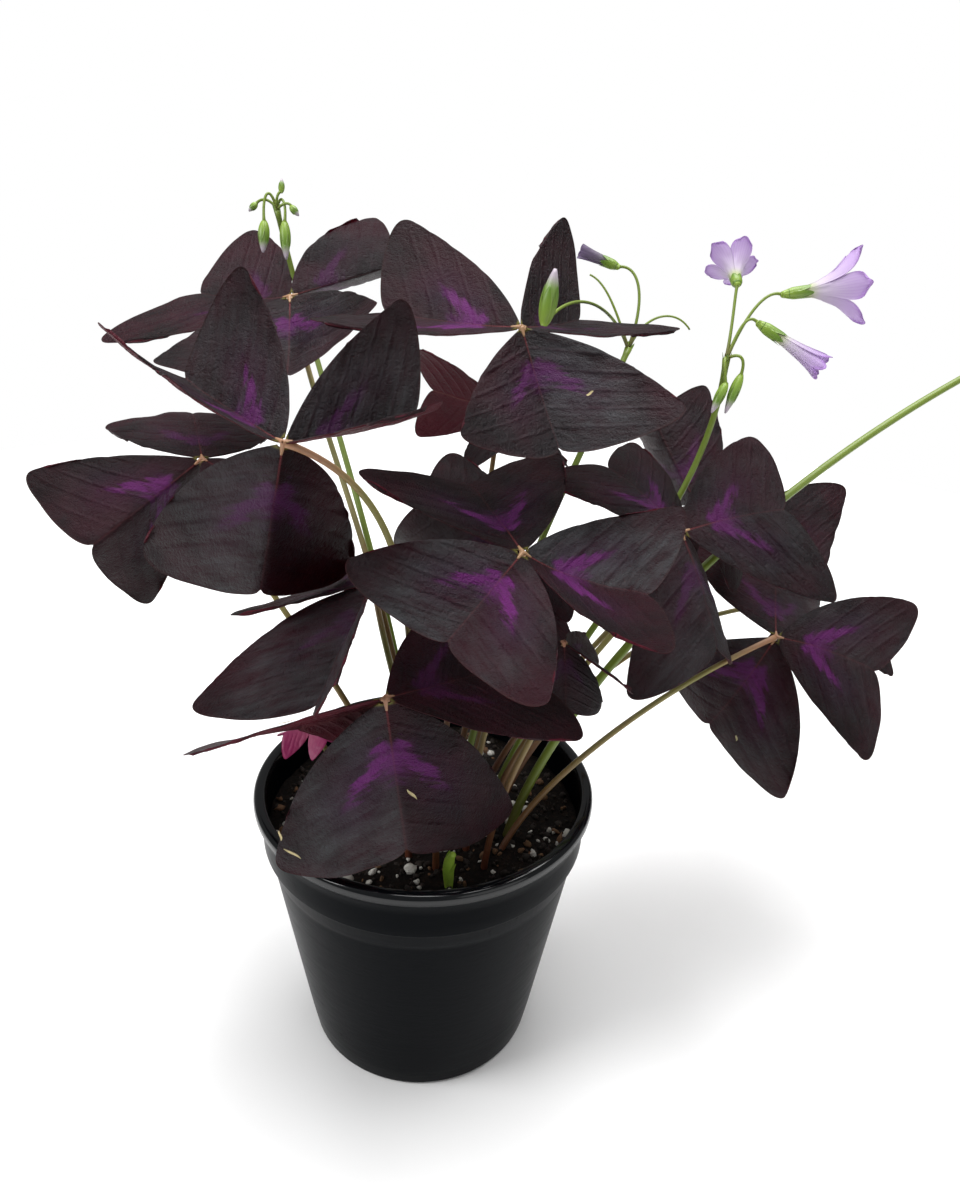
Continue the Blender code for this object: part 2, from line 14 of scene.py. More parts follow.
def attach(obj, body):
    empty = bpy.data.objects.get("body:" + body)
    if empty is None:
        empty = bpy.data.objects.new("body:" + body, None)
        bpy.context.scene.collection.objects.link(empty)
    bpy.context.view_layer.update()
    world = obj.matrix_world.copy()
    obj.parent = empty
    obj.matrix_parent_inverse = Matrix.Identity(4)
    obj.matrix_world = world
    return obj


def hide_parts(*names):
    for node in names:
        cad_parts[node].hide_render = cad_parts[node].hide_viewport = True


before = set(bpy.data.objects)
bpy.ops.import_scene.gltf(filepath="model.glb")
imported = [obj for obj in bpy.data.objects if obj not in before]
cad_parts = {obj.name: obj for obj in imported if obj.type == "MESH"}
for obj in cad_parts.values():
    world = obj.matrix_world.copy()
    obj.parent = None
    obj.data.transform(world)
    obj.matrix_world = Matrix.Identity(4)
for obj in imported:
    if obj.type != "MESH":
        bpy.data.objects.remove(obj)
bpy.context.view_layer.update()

MM = 0.001
CHANCE = np.random.default_rng(11)

# Leaf shape
STALK_FOOT_RADIUS = 0.95
STALK_TOP_RADIUS = 0.8
PEDUNCLE_TAPER = 0.77
PEDICEL_OVERLAP = 0.6
FIFTH = 0.4 * math.pi
STALK_DEPTH = 10
STALK_RISE = 0.5
NOTCH = 0.72
MARGIN_POLYGON = ((NOTCH, 0.0), (0.81, 0.04), (0.87, 0.32), (0.96, 0.58), (0.93, 0.73), (0.74, 0.60))
EDGE_BULGE = 0.10
LEAF_ROWS = 46
LEAF_COLUMNS = 61
LEAF_THICKNESS = 0.42
SEPAL_THICKNESS = 0.22

# Dry scraps: half width, and height above the middle of the blade
SCRAP_WIDTH = 0.32
SCRAP_HEIGHT = 1.15

# Pot and soil
POT_HEIGHT = 88
RIM_RADIUS = 50
COLLAR_RADIUS = 48
STEP_RADIUS = 46.4
BASE_RADIUS = 35
COLLAR_DEPTH = 16
WALL = 1.4
SOIL_TOP = 78
SOIL_EDGE = 46.0
# How many, smallest and largest radius, and 0 for dark crumbs, 0.5 for bark or 1 for perlite
GRAINS = ((1000, 0.35, 1.2, 0.0), (150, 0.4, 1.5, 0.5), (170, 0.5, 1.7, 1.0))

# Stage, in metres and degrees, with the lens in mm
FLOOR_RADIUS = 0.7
FLOOR_SIDES = 96
SKY_STRENGTH = 0.28
CAMERA_LENS = 28.83
CAMERA_TILT = 25.6
CAMERA_ROLL = -2.4
CAMERA_PLACE = (0.0142, -0.2350, 0.2604)

# heading 0 is +X and 90 is +Y; pitch lifts the tip; roll lifts the left half;
# left and right fold the halves down; mark is how strong the magenta arrow is,
# and the last two are how much grey sheen, a painted reflection, each half carries
Leaflet = namedtuple(
    "Leaflet",
    "heading pitch roll left right size bend cup mark left_satin right_satin",
    defaults=(0.25, 0.25))
# foot is where the stalk leaves the soil, arrive pulls its far end, hue reddens it,
# and rise is how far up it goes straight
Leaf = namedtuple("Leaf", "name hub reach foot arrive leaflets hue rise", defaults=(STALK_RISE,))

LEAVES = (
    Leaf("left_front", (-31, -28, 198), 48, (-3, -22), (4, -10, 180), (
        Leaflet(142, 9, -27, -50, -14, 0.95, -20, -24, 0.8, 0.45, 0.55),
        Leaflet(15, 5, 25, -52, -45, 0.84, -12, 0, 0.45, 0.7, 0.6),
        Leaflet(322, -106, 30, 32, 42, 1.20, 0, 8, 0.4, 0.0, 0.75)), 0.5),
    Leaf("far_left", (-66, 26, 176), 47, (-6, -15), (-48, 12, 130), (
        Leaflet(230, -25, -60, 50, 45, 1.13, 30, -10, 0.8, 0.1, 0.15),
        Leaflet(110, 12, 5, 10, 10, 0.87, 5, 10, 0.4, 0.3, 0.3),
        Leaflet(335, -15, 10, 10, 15, 0.75, 10, 10, 0.4, 0.3, 0.3)), 0.6),
    Leaf("back_left", (-49, 75, 214), 54, (-1, -11), (-34, 54, 160), (
        Leaflet(145, -12, -10, 5, -25, 1.07, -15, 10, 0.3, 0.1, 0.15),
        Leaflet(28, 14, 62, 15, 84, 0.90, 5, 45, 0.3, 0.3, 0.1),
        Leaflet(280, -30, 10, -35, -20, 1.03, -15, 0, 0.7, 0.4, 0.45)), 0.3),
    Leaf("top", (22, 20, 217), 50, (8, -6), (43, 52, 168), (
        Leaflet(160, -5, -25, -25, -10, 1.05, -15, -5, 0.9, 0.1, 0.1),
        Leaflet(60, -8, 22, -45, -20, 0.90, -10, -5, 0.3, 0.25, 0.25),
        Leaflet(300, -55, 25, -25, -45, 1.0, -25, 5, 0.6, 0.9, 0.3)), 0.3),
    Leaf("centre", (24, -21, 171), 46, (13, -18), (23, -17, 130), (
        Leaflet(115, 15, -5, -15, -5, 1.0, 10, 5, 1.0, 0.05, 0.1),
        Leaflet(10, -33, 33, 0, -25, 1.0, -40, -5, 0.9, 1.0, 0.05),
        Leaflet(236, -23, -20, -12, -25, 0.97, -5, -10, 1.0, 0.4, 0.95)), 0.2),
    Leaf("low_front", (-7, -43, 142), 48, (5, -27), (4, -27, 131.5), (
        Leaflet(305, -75, 28, 28, 10, 1.16, 10, 15, 1.0, 0.1, 0.75),
        Leaflet(34, -4, 0, -30, 5, 0.92, -5, 20, 0.3, 0.0, 0.0),
        Leaflet(150, -36, 26, 5, 10, 0.97, -5, 10, 0.2, 0.0, 0.1)), 0.6),
    Leaf("low_left", (-14, -5, 154), 52, (2, -19), (-10, -8, 125), (
        Leaflet(250, -30, 0, -65, 0, 1.0, 5, 10, 0.2, 0.8, 0.7),
        Leaflet(148, -22, 5, 0, -10, 0.70, 0, 0, 0.3, 0.3, 0.3),
        Leaflet(12, -12, 0, 15, 15, 0.6, 10, 10, 0.3, 0.2, 0.2)), 0.2),
    Leaf("right", (70, 18, 163), 47, (18, -12), (54, 8, 125), (
        Leaflet(18, 13, 25, -5, 20, 1.0, 15, 5, 0.7, 0.35, 0.5),
        Leaflet(305, -50, -5, 28, 10, 1.0, 10, 25, 0.3, 0.55, 0.5),
        Leaflet(140, 33, 5, 5, -4, 0.85, 15, 5, 0.6, 0.15, 0.1)), 0.4),
    Leaf("far_right", (107, 32, 124), 49, (21, -20), (70, 18, 112), (
        Leaflet(331, 5, 34, -12, 0, 0.88, 40, 10, 0.9, 0.45, 0.3),
        Leaflet(217, -50, -40, -15, 30, 1.08, 60, 15, 0.8, 0.4, 0.6),
        Leaflet(80, 15, 15, 5, 25, 0.95, -10, 20, 0.4, 0.2, 0.2)), 0.5),
    Leaf("back_right", (133, 77, 114), 52, (20, -7), (76, 74, 118), (
        Leaflet(125, 38, 30, 10, -30, 1.1, -30, 0, 0.3),
        Leaflet(250, -30, 0, 15, 15, 0.5, 10, 15, 0.3),
        Leaflet(5, -15, 0, 15, 15, 0.66, 10, 15, 0.4)), 0.5, 0.85),
    Leaf("behind_right", (81, 50, 160), 48, (14, -7), (64, 38, 118), (
        Leaflet(115, 30, -20, 70, 0, 0.95, -20, 50, 0.4),
        Leaflet(215, -12, 0, 15, 15, 0.6, 10, 15, 0.3),
        Leaflet(350, -35, 0, 15, 15, 0.6, 15, 15, 0.3)), 0.6),
    Leaf("behind_centre", (25, 10, 155), 44, (12, -15), (21, 5, 120), (
        Leaflet(153, 20, -40, 50, 10, 1.03, 0, 40, 0.2),
        Leaflet(345, -12, 0, 5, 5, 0.5, 15, 20, 0.3),
        Leaflet(262, -50, 0, 15, 15, 0.75, 15, 20, 0.2)), 0.7),
    Leaf("back_centre", (18, 75, 181), 46, (4, -6), (14, 54, 130), (
        Leaflet(165, 10, 60, 0, 0, 0.70, 0, 20, 0.2),
        Leaflet(285, -5, 0, 15, 15, 0.65, 10, 20, 0.3),
        Leaflet(55, 20, 0, 20, 20, 0.95, 0, 20, 0.3)), 0.9),
    Leaf("small_right", (36, -19, 146), 27, (18, -25), (38, -9, 118), (
        Leaflet(275, -47, 5, 20, 45, 0.87, 30, 45, 0.2),
        Leaflet(29, -36, 5, -15, -5, 0.76, 5, 0, 0.3),
        Leaflet(155, -5, -10, 35, 35, 0.6, 0, 30, 0.2)), 0.8),
)

YOUNG_LEAF = Leaf("young", (-33, 2, 104), 12, (-10, -8), (-27, -1, 88), (
    Leaflet(200, -10, 0, 25, 25, 1.0, 0, 20, 0.0),
    Leaflet(80, -10, 0, 25, 25, 0.9, 0, 20, 0.0),
    Leaflet(310, -10, 0, 25, 25, 0.9, 0, 20, 0.0)), 0.5)

# A pedicel springs from the top of the stem towards rise, and ends at end pulled by fall.
# It carries a bud, a calyx under a flower, or nothing, of a length and width in mm and pointing along aim
Pedicel = namedtuple("Pedicel", "rise fall end carries length width aim", defaults=("", 0, 0, (0, 0, 1)))
# leave and arrive pull the stem between its foot and its top, and girth is its radius at the foot
Umbel = namedtuple("Umbel", "name foot leave arrive top girth pedicels")

UMBELS = (
    Umbel("left", (0, -7), (-2, 2, 130), (-47, 97, 188), (-54.5, 88.5, 238), 1.05, (
        Pedicel((-57, 91, 246), (-59, 88, 243), (-58, 85, 234.5), "bud", 10, 3.6, (0, -4, -9)),
        Pedicel((-54, 90, 243), (-51, 88, 242), (-51.6, 85, 234.6), "bud", 12, 3.4, (1, -5, -11)),
        Pedicel((-56, 88, 241), (-59, 88.5, 242), (-61, 87.6, 239.4), "bud", 3.6, 2, (-2, -1, -2)),
        Pedicel((-54.5, 87, 242), (-53.8, 88, 243), (-53, 89, 243.5), "bud", 4.5, 1.8, (0, 1, 2)),
        Pedicel((-53, 87, 240), (-50, 87, 241), (-49.5, 86.8, 239), "bud", 4, 2.2, (2, -1, -2)))),
    Umbel("middle", (9, -11), (11, -4, 130), (40, 30, 175), (55, 55, 206), 1.1, (
        Pedicel((60, 60, 221), (57, 66, 229), (51, 65.4, 227.8), "calyx", 6, 3.2, (-6, 1, 2)),
        Pedicel((50.4, 60.3, 218), (47, 63, 224), (42.7, 64.3, 225.4)),
        Pedicel((48.4, 51.8, 220.3), (35.5, 32.5, 226.3), (27.5, 14.5, 219), "bud", 14, 4.6, (2, 2, 13)),
        Pedicel((59.6, 60, 216.3), (68.8, 60.5, 217.6), (73, 57.8, 211.8)))),
    Umbel("right", (16, -10), (21, -8, 125), (84, 49, 150), (81, 41, 207), 1.1, (
        Pedicel((82.6, 46, 218), (82.5, 48, 222), (83.3, 50.5, 226), "calyx", 4, 3.4, (0, 9, 4)),
        Pedicel((84, 44, 214), (90, 50, 226), (96.2, 49.2, 224), "calyx", 9, 3.6, (9.6, 0, 1.6)),
        Pedicel((83.8, 44, 214), (86, 46, 220), (89.5, 45, 216.5), "calyx", 9, 3.6, (9, -3, -5)),
        Pedicel((84, 38, 210), (86, 38, 208), (85, 38, 203), "bud", 12, 3, (-5, -6, -12)),
        Pedicel((79, 37, 209), (80, 36, 205), (80.5, 35.5, 201), "bud", 9.5, 2.8, (-4, -4, -8)))),
    Umbel("outer", (23, -14), (29, -4, 120), (108, 52, 178), (188, 76, 211.3), 1.38, (
        Pedicel((192, 78, 216), (197, 79, 217), (198.3, 79.2, 211), "bud", 9, 2.9, (0, 0, -1)),
        Pedicel((189, 80, 216), (191, 85, 218), (192, 87, 212), "bud", 8, 2.6, (1, 1, -6)),
        Pedicel((190, 74, 215), (194, 71, 216), (195, 70, 210), "bud", 6, 2.4, (1, -1, -6)))),
)

# length runs from calyx to mouth, mouth is the radius there, lobing is how far the petals part,
# and dry turns them dark
Flower = namedtuple("Flower", "name umbel pedicel length mouth lobing dry", defaults=(0,))
FLOWERS = (
    Flower("wilted", "middle", 0, 7, 1.8, 0.2, 0.85),
    Flower("seen_from_behind", "right", 0, 10, 8.0, 0.8),
    Flower("open", "right", 1, 13, 11, 0.8),
    Flower("half_closed", "right", 2, 14, 3.6, 0.5),
)

# The leaf and the number of its leaflet, how far out and across the scrap lies, its turn and its length
Scrap = namedtuple("Scrap", "leaf number along across turn length")
SCRAPS = (
    Scrap("low_front", 0, 0.58, 0.16, 20, 4.2),
    Scrap("low_front", 0, 0.86, -0.70, 80, 5.0),
    Scrap("low_front", 0, 0.84, -0.90, 20, 3.0),
    Scrap("low_front", 2, 0.62, 0.40, 35, 4.0),
    Scrap("far_right", 1, 0.78, 0.30, 10, 2.2),
    Scrap("top", 2, 0.60, 0.45, 60, 2.0))

SPROUT = ((9, -34, 76), (9, -34, 82), (8, -33, 86), (10, -34, 89))


def unit(vectors):
    """Vectors divided by their own lengths."""
    return vectors / np.linalg.norm(vectors, axis=-1, keepdims=True)


def triples(*parts):
    """Three numbers or grids of numbers as one grid of triples."""
    return np.stack(np.broadcast_arrays(*parts), axis=-1)


def full_turn(sides):
    """Evenly spaced angles round a circle."""
    return np.linspace(0, 2 * math.pi, sides, endpoint=False)


def hashed(cells, seed):
    """A repeatable number from -1 to 1 for each whole-number cell: the fraction of a large sine."""
    mixed = np.sin(cells @ np.array((127.1, 311.7, 74.7)) + seed * 19.19) * 43758.5453
    return 2 * (mixed - np.floor(mixed)) - 1


def noise(points, cell, seed=0):
    """Smooth value noise: the eight corners of each cell blended by 3t^2 - 2t^3."""
    scaled = np.asarray(points) / cell
    low = np.floor(scaled)
    share = scaled - low
    share = share * share * (3 - 2 * share)
    total = 0
    for corner in np.ndindex(2, 2, 2):
        weight = np.prod(np.where(np.array(corner) == 1, share, 1 - share), axis=-1)
        total = total + weight * hashed(low + corner, seed)
    return total


def bezier(corners, steps):
    """Points along one cubic curve with these four corners."""
    t = np.linspace(0.0, 1.0, steps + 1)[:, None]
    a, b, c, d = (np.array(corner, float) for corner in corners)
    return (1 - t) ** 3 * a + 3 * (1 - t) ** 2 * t * b + 3 * (1 - t) * t**2 * c + t**3 * d


class Batch:
    """Gathers grids of points that become one mesh, with the numbers that its finish reads."""

    def __init__(self):
        self.points = []
        self.quads = []
        self.flat = []
        self.tint = []
        self.count = 0

    def grid(self, points, flat, tint=(0, 0, 0), wrap=False, flip=False):
        """One grid of points. Its columns join up where it wraps; flat and tint are stored at each point."""
        rows, columns = points.shape[:2]
        index = np.arange(rows * columns).reshape(rows, columns) + self.count
        if wrap:
            index = np.concatenate((index, index[:, :1]), axis=1)
        corners = (index[:-1, :-1], index[:-1, 1:], index[1:, 1:], index[1:, :-1])
        quads = np.stack(corners, axis=-1).reshape(-1, 4)
        self.quads.append(quads[:, ::-1] if flip else quads)
        self.points.append(points.reshape(-1, 3))
        self.flat.append(np.broadcast_to(flat, points.shape).reshape(-1, 3))
        self.tint.append(np.broadcast_to(tint, points.shape).reshape(-1, 3))
        self.count += rows * columns
        return index

    def strip(self, first, second):
        """Quads between two rows of points that are already in the batch."""
        self.quads.append(np.stack((first[:-1], second[:-1], second[1:], first[1:]), axis=-1))

    def piece(self, name, finish, slot, *nodes):
        """The finished object, which stands for the named solids."""
        points = np.concatenate(self.points) * MM
        quads = np.concatenate(self.quads)
        mesh = bpy.data.meshes.new(name)
        mesh.vertices.add(len(points))
        mesh.vertices.foreach_set("co", points.ravel())
        mesh.loops.add(quads.size)
        mesh.loops.foreach_set("vertex_index", quads.ravel().astype(np.int32))
        mesh.polygons.add(len(quads))
        mesh.polygons.foreach_set("loop_start", np.arange(0, quads.size, 4, dtype=np.int32))
        for label, values in (("flat", self.flat), ("tint", self.tint)):
            layer = mesh.attributes.new(label, "FLOAT_VECTOR", "POINT")
            layer.data.foreach_set("vector", np.concatenate(values).astype(np.float32).ravel())
        mesh.update(calc_edges=True)
        mesh.validate()
        mesh.shade_smooth()
        mesh.materials.append(finish)
        item = bpy.data.objects.new(name, mesh)
        bpy.context.scene.collection.objects.link(item)
        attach(item, "root")
        if nodes:
            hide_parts(*nodes)
        return item


def tube(batch, path, radii, sides, tint=(0, 0, 0), start_run=0.0):
    """A round rod: rings of the given radii carried along a path without twist, with its ends drawn in.

    Its flat numbers are the run along the rod (1 at its end), the share of the turn and the radius.
    """
    path = np.asarray(path, float)
    radii = np.broadcast_to(np.asarray(radii, float), len(path)).copy()
    tangent = unit(np.gradient(path, axis=0))
    side = unit(np.cross(tangent[0], (0.3, 1.0, 0.2)))
    sides_of_rings = []
    for along in tangent:
        side = unit(side - along * side.dot(along))
        sides_of_rings.append(side)
    first = np.array(sides_of_rings)
    second = np.cross(tangent, first)
    run = np.linspace(start_run, 1.0, len(path))
    path = np.concatenate((path[:1], path, path[-1:]))
    first = np.concatenate((first[:1], first, first[-1:]))
    second = np.concatenate((second[:1], second, second[-1:]))
    run = np.concatenate((run[:1], run, run[-1:]))
    radii = np.concatenate(([1e-4], radii, [1e-4]))
    angles = full_turn(sides)
    ring = np.cos(angles)[None, :, None] * first[:, None] + np.sin(angles)[None, :, None] * second[:, None]
    points = path[:, None] + ring * radii[:, None, None]
    flat = triples(run[:, None], angles / (2 * math.pi), radii[:, None])
    batch.grid(points, flat, tint, wrap=True)


def leaflet_directions(leaflet):
    """The leaflet's midrib, left and up directions."""
    heading, pitch, roll = (math.radians(angle) for angle in leaflet[:3])
    flat = math.cos(pitch)
    midrib = np.array((flat * math.cos(heading), flat * math.sin(heading), math.sin(pitch)))
    level = np.array((-math.sin(heading), math.cos(heading), 0.0))
    above = np.cross(midrib, level)
    left = math.cos(roll) * level + math.sin(roll) * above
    up = math.cos(roll) * above - math.sin(roll) * level
    return np.array((midrib, left, up))


def distal_margin(across):
    """The flat margin from the notch (0) round the corner to the outer edge (1): one Bezier curve."""
    degree = len(MARGIN_POLYGON) - 1
    point = 0.0
    for k, corner in enumerate(MARGIN_POLYGON):
        weight = math.comb(degree, k) * across**k * (1 - across) ** (degree - k)
        point = point + weight[..., None] * np.array(corner)
    return point


def flat_leaflet(along, across):
    """Flat place of a point: on the spoke from hub to margin, pushed out by a parabola near the edges."""
    margin = distal_margin(np.abs(across))
    bulge = EDGE_BULGE * np.abs(across) ** 1.5 * 4 * along * (1 - along)
    x = along * margin[..., 0] - bulge * margin[..., 1]
    y = along * margin[..., 1] + bulge * margin[..., 0]
    return x, y


def folded(leaf, leaflet, x, y, across):
    """The flat place on the folded leaflet.

    Each half turns down from the midrib by its fold and curls on by the cup. The midrib arches by the bend.
    """
    soft = np.sqrt(y * y + 0.0004) - 0.02
    fold = np.radians(np.where(across >= 0, leaflet.left, leaflet.right))
    curl = math.radians(leaflet.cup or 0.1) / 0.6
    side = (np.sin(fold + curl * y) - np.sin(fold)) / curl
    drop = (np.cos(fold + curl * soft) - np.cos(fold)) / curl
    arch = math.radians(leaflet.bend or 0.1) / 0.8
    turn = arch * x
    forward = np.sin(turn) / arch + drop * np.sin(turn)
    lift = (np.cos(turn) - 1) / arch + drop * np.cos(turn)
    local = triples(forward, np.sign(across) * side, lift)
    return np.array(leaf.hub) + leaf.reach * leaflet.size * local @ leaflet_directions(leaflet)


def add_leaflet(batch, leaf, leaflet, seed):
    """One leaflet: a thin sheet with a waving margin, whose veins sink into its upper face."""
    across, along = np.meshgrid(np.linspace(-1, 1, LEAF_COLUMNS), np.linspace(0.02, 1, LEAF_ROWS) ** 0.9)
    across = np.sign(across) * np.abs(across) ** 0.85
    x, y = flat_leaflet(along, across)
    middle = folded(leaf, leaflet, x, y, across)
    down = np.gradient(middle, axis=0)
    over = np.gradient(middle, axis=1)
    normal = unit(np.cross(down, over))
    reach = leaf.reach * leaflet.size
    place = triples(x, y, seed * 3.7)
    lateral = x + 0.12 - 0.62 * y ** 1.1 + 0.03 * noise(place, 0.16, 1)
    valley = np.abs(np.cos(math.pi * 8.5 * lateral)) ** 7
    quilt = (0.12 - valley * 0.34) * np.clip(y / 0.12, 0, 1) * np.clip((1 - along) / 0.25, 0, 1)
    crumple = 0.24 * noise(place, 0.09, 2) * np.clip(along / 0.3, 0, 1)
    wave = (0.9 * noise(place, 0.30, 3) + 0.5 * noise(place, 0.15, 4)) * np.clip(along * 1.3 - 0.3, 0, 1) ** 2
    relief = (quilt + crumple + wave) * reach / 48
    groove = np.exp(-((y / 0.018) ** 2)) * np.clip(1.05 - x, 0, 1)
    thick = LEAF_THICKNESS / 2 * np.clip(np.minimum(1 - along, 1 - np.abs(across)) / 0.06, 0.35, 1)
    top = middle + normal * (relief + thick - 0.15 * groove)[..., None]
    under = middle + normal * (relief - thick - 0.28 * groove)[..., None]
    edge = np.maximum(along, np.abs(across))
    # painted sheen: the share of painted grey reflection, blended from the right half to the left half across
    # the midrib
    blend = np.clip(0.5 + across / 0.16, 0, 1)
    painted_sheen = leaflet.right_satin + (leaflet.left_satin - leaflet.right_satin) * blend
    tint = triples(leaflet.mark, painted_sheen, edge)
    signed = y * np.sign(across)
    upper = batch.grid(top, triples(x, signed, 1.0), tint)
    lower = batch.grid(under, triples(x, signed, 0.0), tint, flip=True)
    batch.strip(upper[:, 0], lower[:, 0])
    batch.strip(lower[:, -1], upper[:, -1])
    batch.strip(upper[-1], lower[-1])
    batch.strip(lower[0], upper[0])


def add_scraps(straw):
    """Each scrap is a narrow bowed strip, laid on the upper face of a leaflet."""
    batch = Batch()
    for scrap in SCRAPS:
        leaf = next(item for item in LEAVES if item.name == scrap.leaf)
        along = scrap.along + np.array((0.0, 0.01, 0.0))
        across = scrap.across + np.array((0.0, 0.0, 0.01))
        x, y = flat_leaflet(along, across)
        here, out, over = folded(leaf, leaf.leaflets[scrap.number], x, y, across)
        normal = unit(np.cross(out - here, over - here))
        first = unit(out - here)
        turn = math.radians(scrap.turn)
        lengthwise = math.cos(turn) * first + math.sin(turn) * np.cross(normal, first)
        sideways = np.cross(normal, lengthwise)
        run, side = np.meshgrid(np.linspace(-1, 1, 12), np.linspace(-1, 1, 4), indexing="ij")
        width = SCRAP_WIDTH * (1.1 - run ** 2) * side + 0.25 * np.sin(2.2 * run)
        height = SCRAP_HEIGHT + 0.18 * run ** 2
        middle = here + (run * scrap.length / 2)[..., None] * lengthwise
        middle = middle + width[..., None] * sideways + height[..., None] * normal
        flat = triples(run, side, 0.0)
        sheet(batch, middle, np.broadcast_to(normal, middle.shape), np.full_like(run, 0.16), flat, (0, 0, 0))
    batch.piece("straw_scraps", straw, "soil_brown")


def stalk_path(leaf, steps=44):
    """The leaf stalk: straight up out of the soil, then arching outwards to end at the hub."""
    hub = np.array(leaf.hub, float)
    foot = np.array((*leaf.foot, SOIL_TOP - STALK_DEPTH))
    leave = foot + np.array((0, 0, leaf.rise * (hub[2] - foot[2])))
    arrive = np.array(leaf.arrive, float)
    end = hub - unit(hub - arrive) * 0.4
    path = bezier((foot, leave, arrive, end), steps)
    sway = np.stack([noise(path, 26, seed) for seed in (5, 6, 7)], axis=-1)
    return path + 0.25 * sway * np.sin(np.linspace(0, math.pi, steps + 1))[:, None]


def add_leaf(leaf, purple, green, blade_slot):
    """Three leaflets, their short pink stems, and the stalk with its swollen foot and top."""
    blades = Batch()
    for number, leaflet in enumerate(leaf.leaflets):
        add_leaflet(blades, leaf, leaflet, len(leaf.name) + 7 * number + leaf.hub[0])
    blades.piece(f"{leaf.name}_leaflets", purple, blade_slot, f"leaf_{leaf.name}_blades")
    stalk = Batch()
    path = stalk_path(leaf)
    run = np.linspace(0, 1, len(path))
    swell = 1 + 0.35 * np.exp(-run / 0.04) + 0.25 * np.exp(-(1 - run) / 0.02)
    radii = (STALK_FOOT_RADIUS + (STALK_TOP_RADIUS - STALK_FOOT_RADIUS) * run) * swell
    tint = (leaf.hue, (leaf.foot[0] * 0.37) % 1, 0)
    tube(stalk, path, radii, 14, tint)
    for leaflet in leaf.leaflets:
        midrib = leaflet_directions(leaflet)[0]
        reach = leaf.reach * leaflet.size
        shares = np.linspace(0, 0.055, 7)
        tip = np.array(leaf.hub) + np.outer(shares * reach, midrib)
        tube(stalk, tip, np.linspace(0.72, 0.3, 7), 10, tint, 0.985)
    stalk.piece(f"{leaf.name}_stalk", green, "stalk_green", f"leaf_{leaf.name}_stalk")


def axis_frame(axis):
    """A direction and two directions square to it."""
    axis = unit(np.array(axis, float))
    side = unit(np.cross(axis, (0.0, 0.2, 1.0)))
    return axis, side, np.cross(axis, side)


def scale_leaf(batch, base, axes, angle, length, width, curve, tint, hug, rows=10, columns=7):
    """A sepal: a lance shape bent along a spindle, wide at a third of its length and pointed at the tip."""
    axis, side, other = axes
    run, across = np.meshgrid(np.linspace(0, 1, rows), np.linspace(-1, 1, columns), indexing="ij")
    half = width * np.sin(math.pi * np.clip(0.12 + 0.88 * run, 0, 1)) ** 0.8
    radius = curve(run) + hug
    turn = angle + across * half / np.maximum(radius, 0.35)
    outward = np.cos(turn)[..., None] * side + np.sin(turn)[..., None] * other
    middle = base + (run * length)[..., None] * axis + outward * radius[..., None]
    sheet(batch, middle, outward, SEPAL_THICKNESS * (1.1 - run), triples(run, across, 0.0), tint)


def sheet(batch, middle, normal, thickness, flat, tint):
    """A thin closed sheet round a grid of points."""
    offset = normal * (np.asarray(thickness) / 2)[..., None]
    inner_flat = flat.copy()
    inner_flat[..., 2] = 1
    outer = batch.grid(middle + offset, flat, tint)
    inner = batch.grid(middle - offset, inner_flat, tint, flip=True)
    batch.strip(outer[:, 0], inner[:, 0])
    batch.strip(inner[:, -1], outer[:, -1])
    batch.strip(outer[-1], inner[-1])
    batch.strip(inner[0], outer[0])


def add_bud(batch, end, aim, length, radius):
    """A bud: a closed spindle with a lilac tip, wrapped in five pointed sepals."""
    axes = axis_frame(aim)
    start = np.array(end) - axes[0] * PEDICEL_OVERLAP
    shares = np.linspace(0.0, 1.0, 14)
    tube(batch, start + np.outer(shares * length, axes[0]), 0.92 * radius * spindle(shares), 14, (1, 0, 0))
    for k in range(5):
        scale_leaf(batch, start, axes, k * FIFTH, length * 0.72, radius * 0.62,
                   lambda run: 0.92 * radius * spindle(run * 0.72), (0.55, 0.2 * k, 0), 0.10)


def spindle(run):
    """Radius share of a bud: a sine that is fuller towards the stem, drawn to a point."""
    return np.sin(math.pi * np.clip(0.06 + 0.9 * run ** 0.85, 0, 1)) ** 0.8


def add_calyx(batch, end, aim, length, radius):
    """Five sepals that hold the flower: each hugs the tube and its tip stands off a little."""
    axes = axis_frame(aim)
    start = np.array(end) - axes[0] * PEDICEL_OVERLAP
    shares = np.linspace(0, 1, 8)
    cup = start + np.outer(shares * 0.25 * length, axes[0])
    tube(batch, cup, radius * (0.35 + 0.45 * shares), 14, (0.3, 0, 0))
    for k in range(5):
        scale_leaf(batch, start + axes[0] * 0.3, axes, (k + 0.25) * FIFTH, length, radius * 0.72,
                   lambda run: radius * np.interp(run, (0, 0.35, 1), (0.40, 0.88, 1.0)),
                   (0.45, 0.2 * k, 0), 0.05)


def pedicel_path(umbel, pedicel, steps=22):
    """The curve of one flower stalk."""
    return bezier((umbel.top, pedicel.rise, pedicel.fall, pedicel.end), steps)


def peduncle_path(umbel, steps=60):
    """The curve of the stem that carries an umbel."""
    foot = (*umbel.foot, SOIL_TOP - STALK_DEPTH)
    return bezier((foot, umbel.leave, umbel.arrive, umbel.top), steps)


